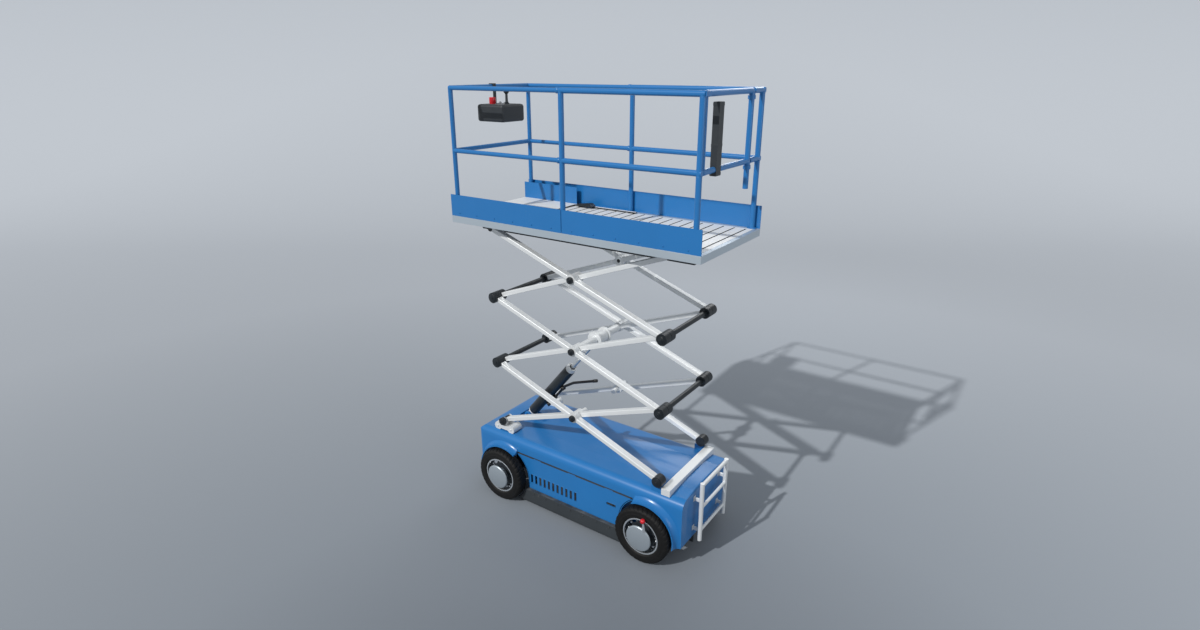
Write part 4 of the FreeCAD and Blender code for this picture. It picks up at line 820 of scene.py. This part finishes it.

# Deck: steel slats laid crosswise with open slots between, and on the steered half a roll-out plate
# that rests on slide pads. Both faces are near white and finely dimpled against slipping; the upright sides of
# the slats are coloured near black as painted shade in the slots.
grip_face_slot_shade, given, gives = new_group(
    "Grip face and slot shade", ("Colour", "Color", (0.6, 0.6, 0.6, 1)), ("Pitch", "Float", 90.0), ("Dust", "Float", 0.3),
    ("Gloss", "Float", 0.5))
spot = add(grip_face_slot_shade, "TexCoord", {}).outputs["Object"]
even_grid = {"Vector": spot, "Scale": given["Pitch"], "Randomness": 0.0}
stud = add(grip_face_slot_shade, "TexVoronoi", even_grid).outputs["Distance"]
grime = maths(grip_face_slot_shade, "MULTIPLY", blot(grip_face_slot_shade, spot, 5.0, 9.0, 0.4, 0.75), given["Dust"])
# Painted shade: faces that stand upright, such as the slot sides, are coloured near black.
unshaded_top_mask = stretched(grip_face_slot_shade, maths(grip_face_slot_shade, "ABSOLUTE", upward(grip_face_slot_shade)), 0.2, 0.8)
grimy = mixed(grip_face_slot_shade, grime, given["Colour"], (0.30, 0.28, 0.25, 1))
put_out(grip_face_slot_shade, gives, mixed(grip_face_slot_shade, unshaded_top_mask, (0.006, 0.006, 0.006, 1), grimy),
        maths(grip_face_slot_shade, "ADD", given["Gloss"], maths(grip_face_slot_shade, "MULTIPLY", grime, 0.4)),
        stretched(grip_face_slot_shade, stud, 0.22, 0.34, 1.0, 0.0))
deck_grey = finish("Deck_grey", grip_face_slot_shade,
                   {"Colour": (0.78, 0.79, 0.79, 1), "Pitch": 70.0, "Dust": 0.06, "Gloss": 0.48},
                   (0.3, 0.0008), Metallic=0.1)
dress("deck_slats", deck_grey, edge=0.0008)
dress("extension_deck", deck_grey, edge=0.0008)
dress("foot_pedal", dark_steel, edge=0.0012)
pedal_start, rib_start, rib_pitch, rib_count = -0.560, -0.545, 0.021, 7
pedal_rise, pedal_length = 0.022, 0.160
pedal_ribs = bmesh.new()
for k in range(rib_count):
    x = rib_start + k * rib_pitch
    low = deck_z + 0.015 + 0.009 + (x - pedal_start) * pedal_rise / pedal_length
    block(pedal_ribs, (x, 0.409, low - 0.002), (x + 0.008, 0.466, low + 0.0035))
piece("Pedal_ribs", pedal_ribs, "extension", black_plastic, edge=0.001)

# Controls: a black moulded box hung on the front rail with a dark panel on top, a joystick in a
# bellows, a red stop button and three small switches, and at the gate a black holder for papers.
box_top = top_rail_z - 0.145
for name, coat, edge in (("control_box", black_plastic, 0.0008), ("document_holder", black_plastic, 0.0015),
                         ("joystick", black_plastic, 0.0008), ("stop_button", red_knob, 0.0015)):
    dress(name, coat, edge=edge)
panel = bmesh.new()
block(panel, (-1.146, -0.208, box_top - 0.001), (-0.884, 0.034, box_top + 0.0022))
panel_grey = finish("Panel_grey", moulded_grain,
                    {"Colour": (0.050, 0.054, 0.058, 1), "Grain": 1200.0, "Dust": 0.05, "Gloss": 0.34},
                    (0.15, 0.0003))
piece("Control_panel", panel, "extension", panel_grey, edge=0.0018)
stick_profile = [(0.0240, 0.0022), (0.0240, 0.0050), (0.0200, 0.0075), (0.0215, 0.0105), (0.0165, 0.0135),
                 (0.0180, 0.0165), (0.0130, 0.0200), (0.0118, 0.0300), (0.0108, 0.0860), (0.0135, 0.0890),
                 (0.0190, 0.0950), (0.0242, 0.1030), (0.0268, 0.1130), (0.0262, 0.1230), (0.0220, 0.1330),
                 (0.0140, 0.1395), (0.0, 0.1425)]
stick = bmesh.new()
turned(stick, stick_profile, facing_way((-0.965, -0.060, box_top), up), 40)
made = piece("Joystick_lever", stick, "extension", black_plastic)
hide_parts("joystick")
button_profile = [(0.0275, 0.0022), (0.0275, 0.0080), (0.0290, 0.0110), (0.0295, 0.0500), (0.0285, 0.0550),
                  (0.0255, 0.0575), (0.0, 0.0580)]
button = bmesh.new()
turned(button, button_profile, facing_way((-1.090, -0.110, box_top), up), 48)
made = piece("Stop_button_cap", button, "extension", red_knob)
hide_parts("stop_button")
toggle_profile = [(0.0090, 0.0022), (0.0090, 0.0050), (0.0060, 0.0060), (0.0045, 0.0065), (0.0035, 0.0220),
                  (0.0, 0.0235)]
dial_x, dial_y = -1.090, -0.010
switches = bmesh.new()
for y in (-0.175, -0.140):
    turned(switches, toggle_profile, facing_way((-0.925, y, box_top), (0.15, 0, 1)), 20)
turned(switches, [(0.0130, 0.0022), (0.0130, 0.0070), (0.0115, 0.0085), (0.0, 0.0085)],
       facing_way((dial_x, dial_y, box_top), up), 28)
block(switches, (dial_x - 0.0015, dial_y - 0.0085, box_top + 0.008),
      (dial_x + 0.0015, dial_y + 0.0085, box_top + 0.0185))
piece("Control_switches", switches, "extension", bolt_zinc)
clips = bmesh.new()
for z in (mid_rail_z - 0.030, mid_rail_z + 0.170, top_rail_z - 0.075):
    block(clips, (1.1715, -0.2995, z - 0.010), (1.2245, -0.2205, z + 0.010))
piece("Holder_bands", clips, "gate", black_plastic, edge=0.0010)
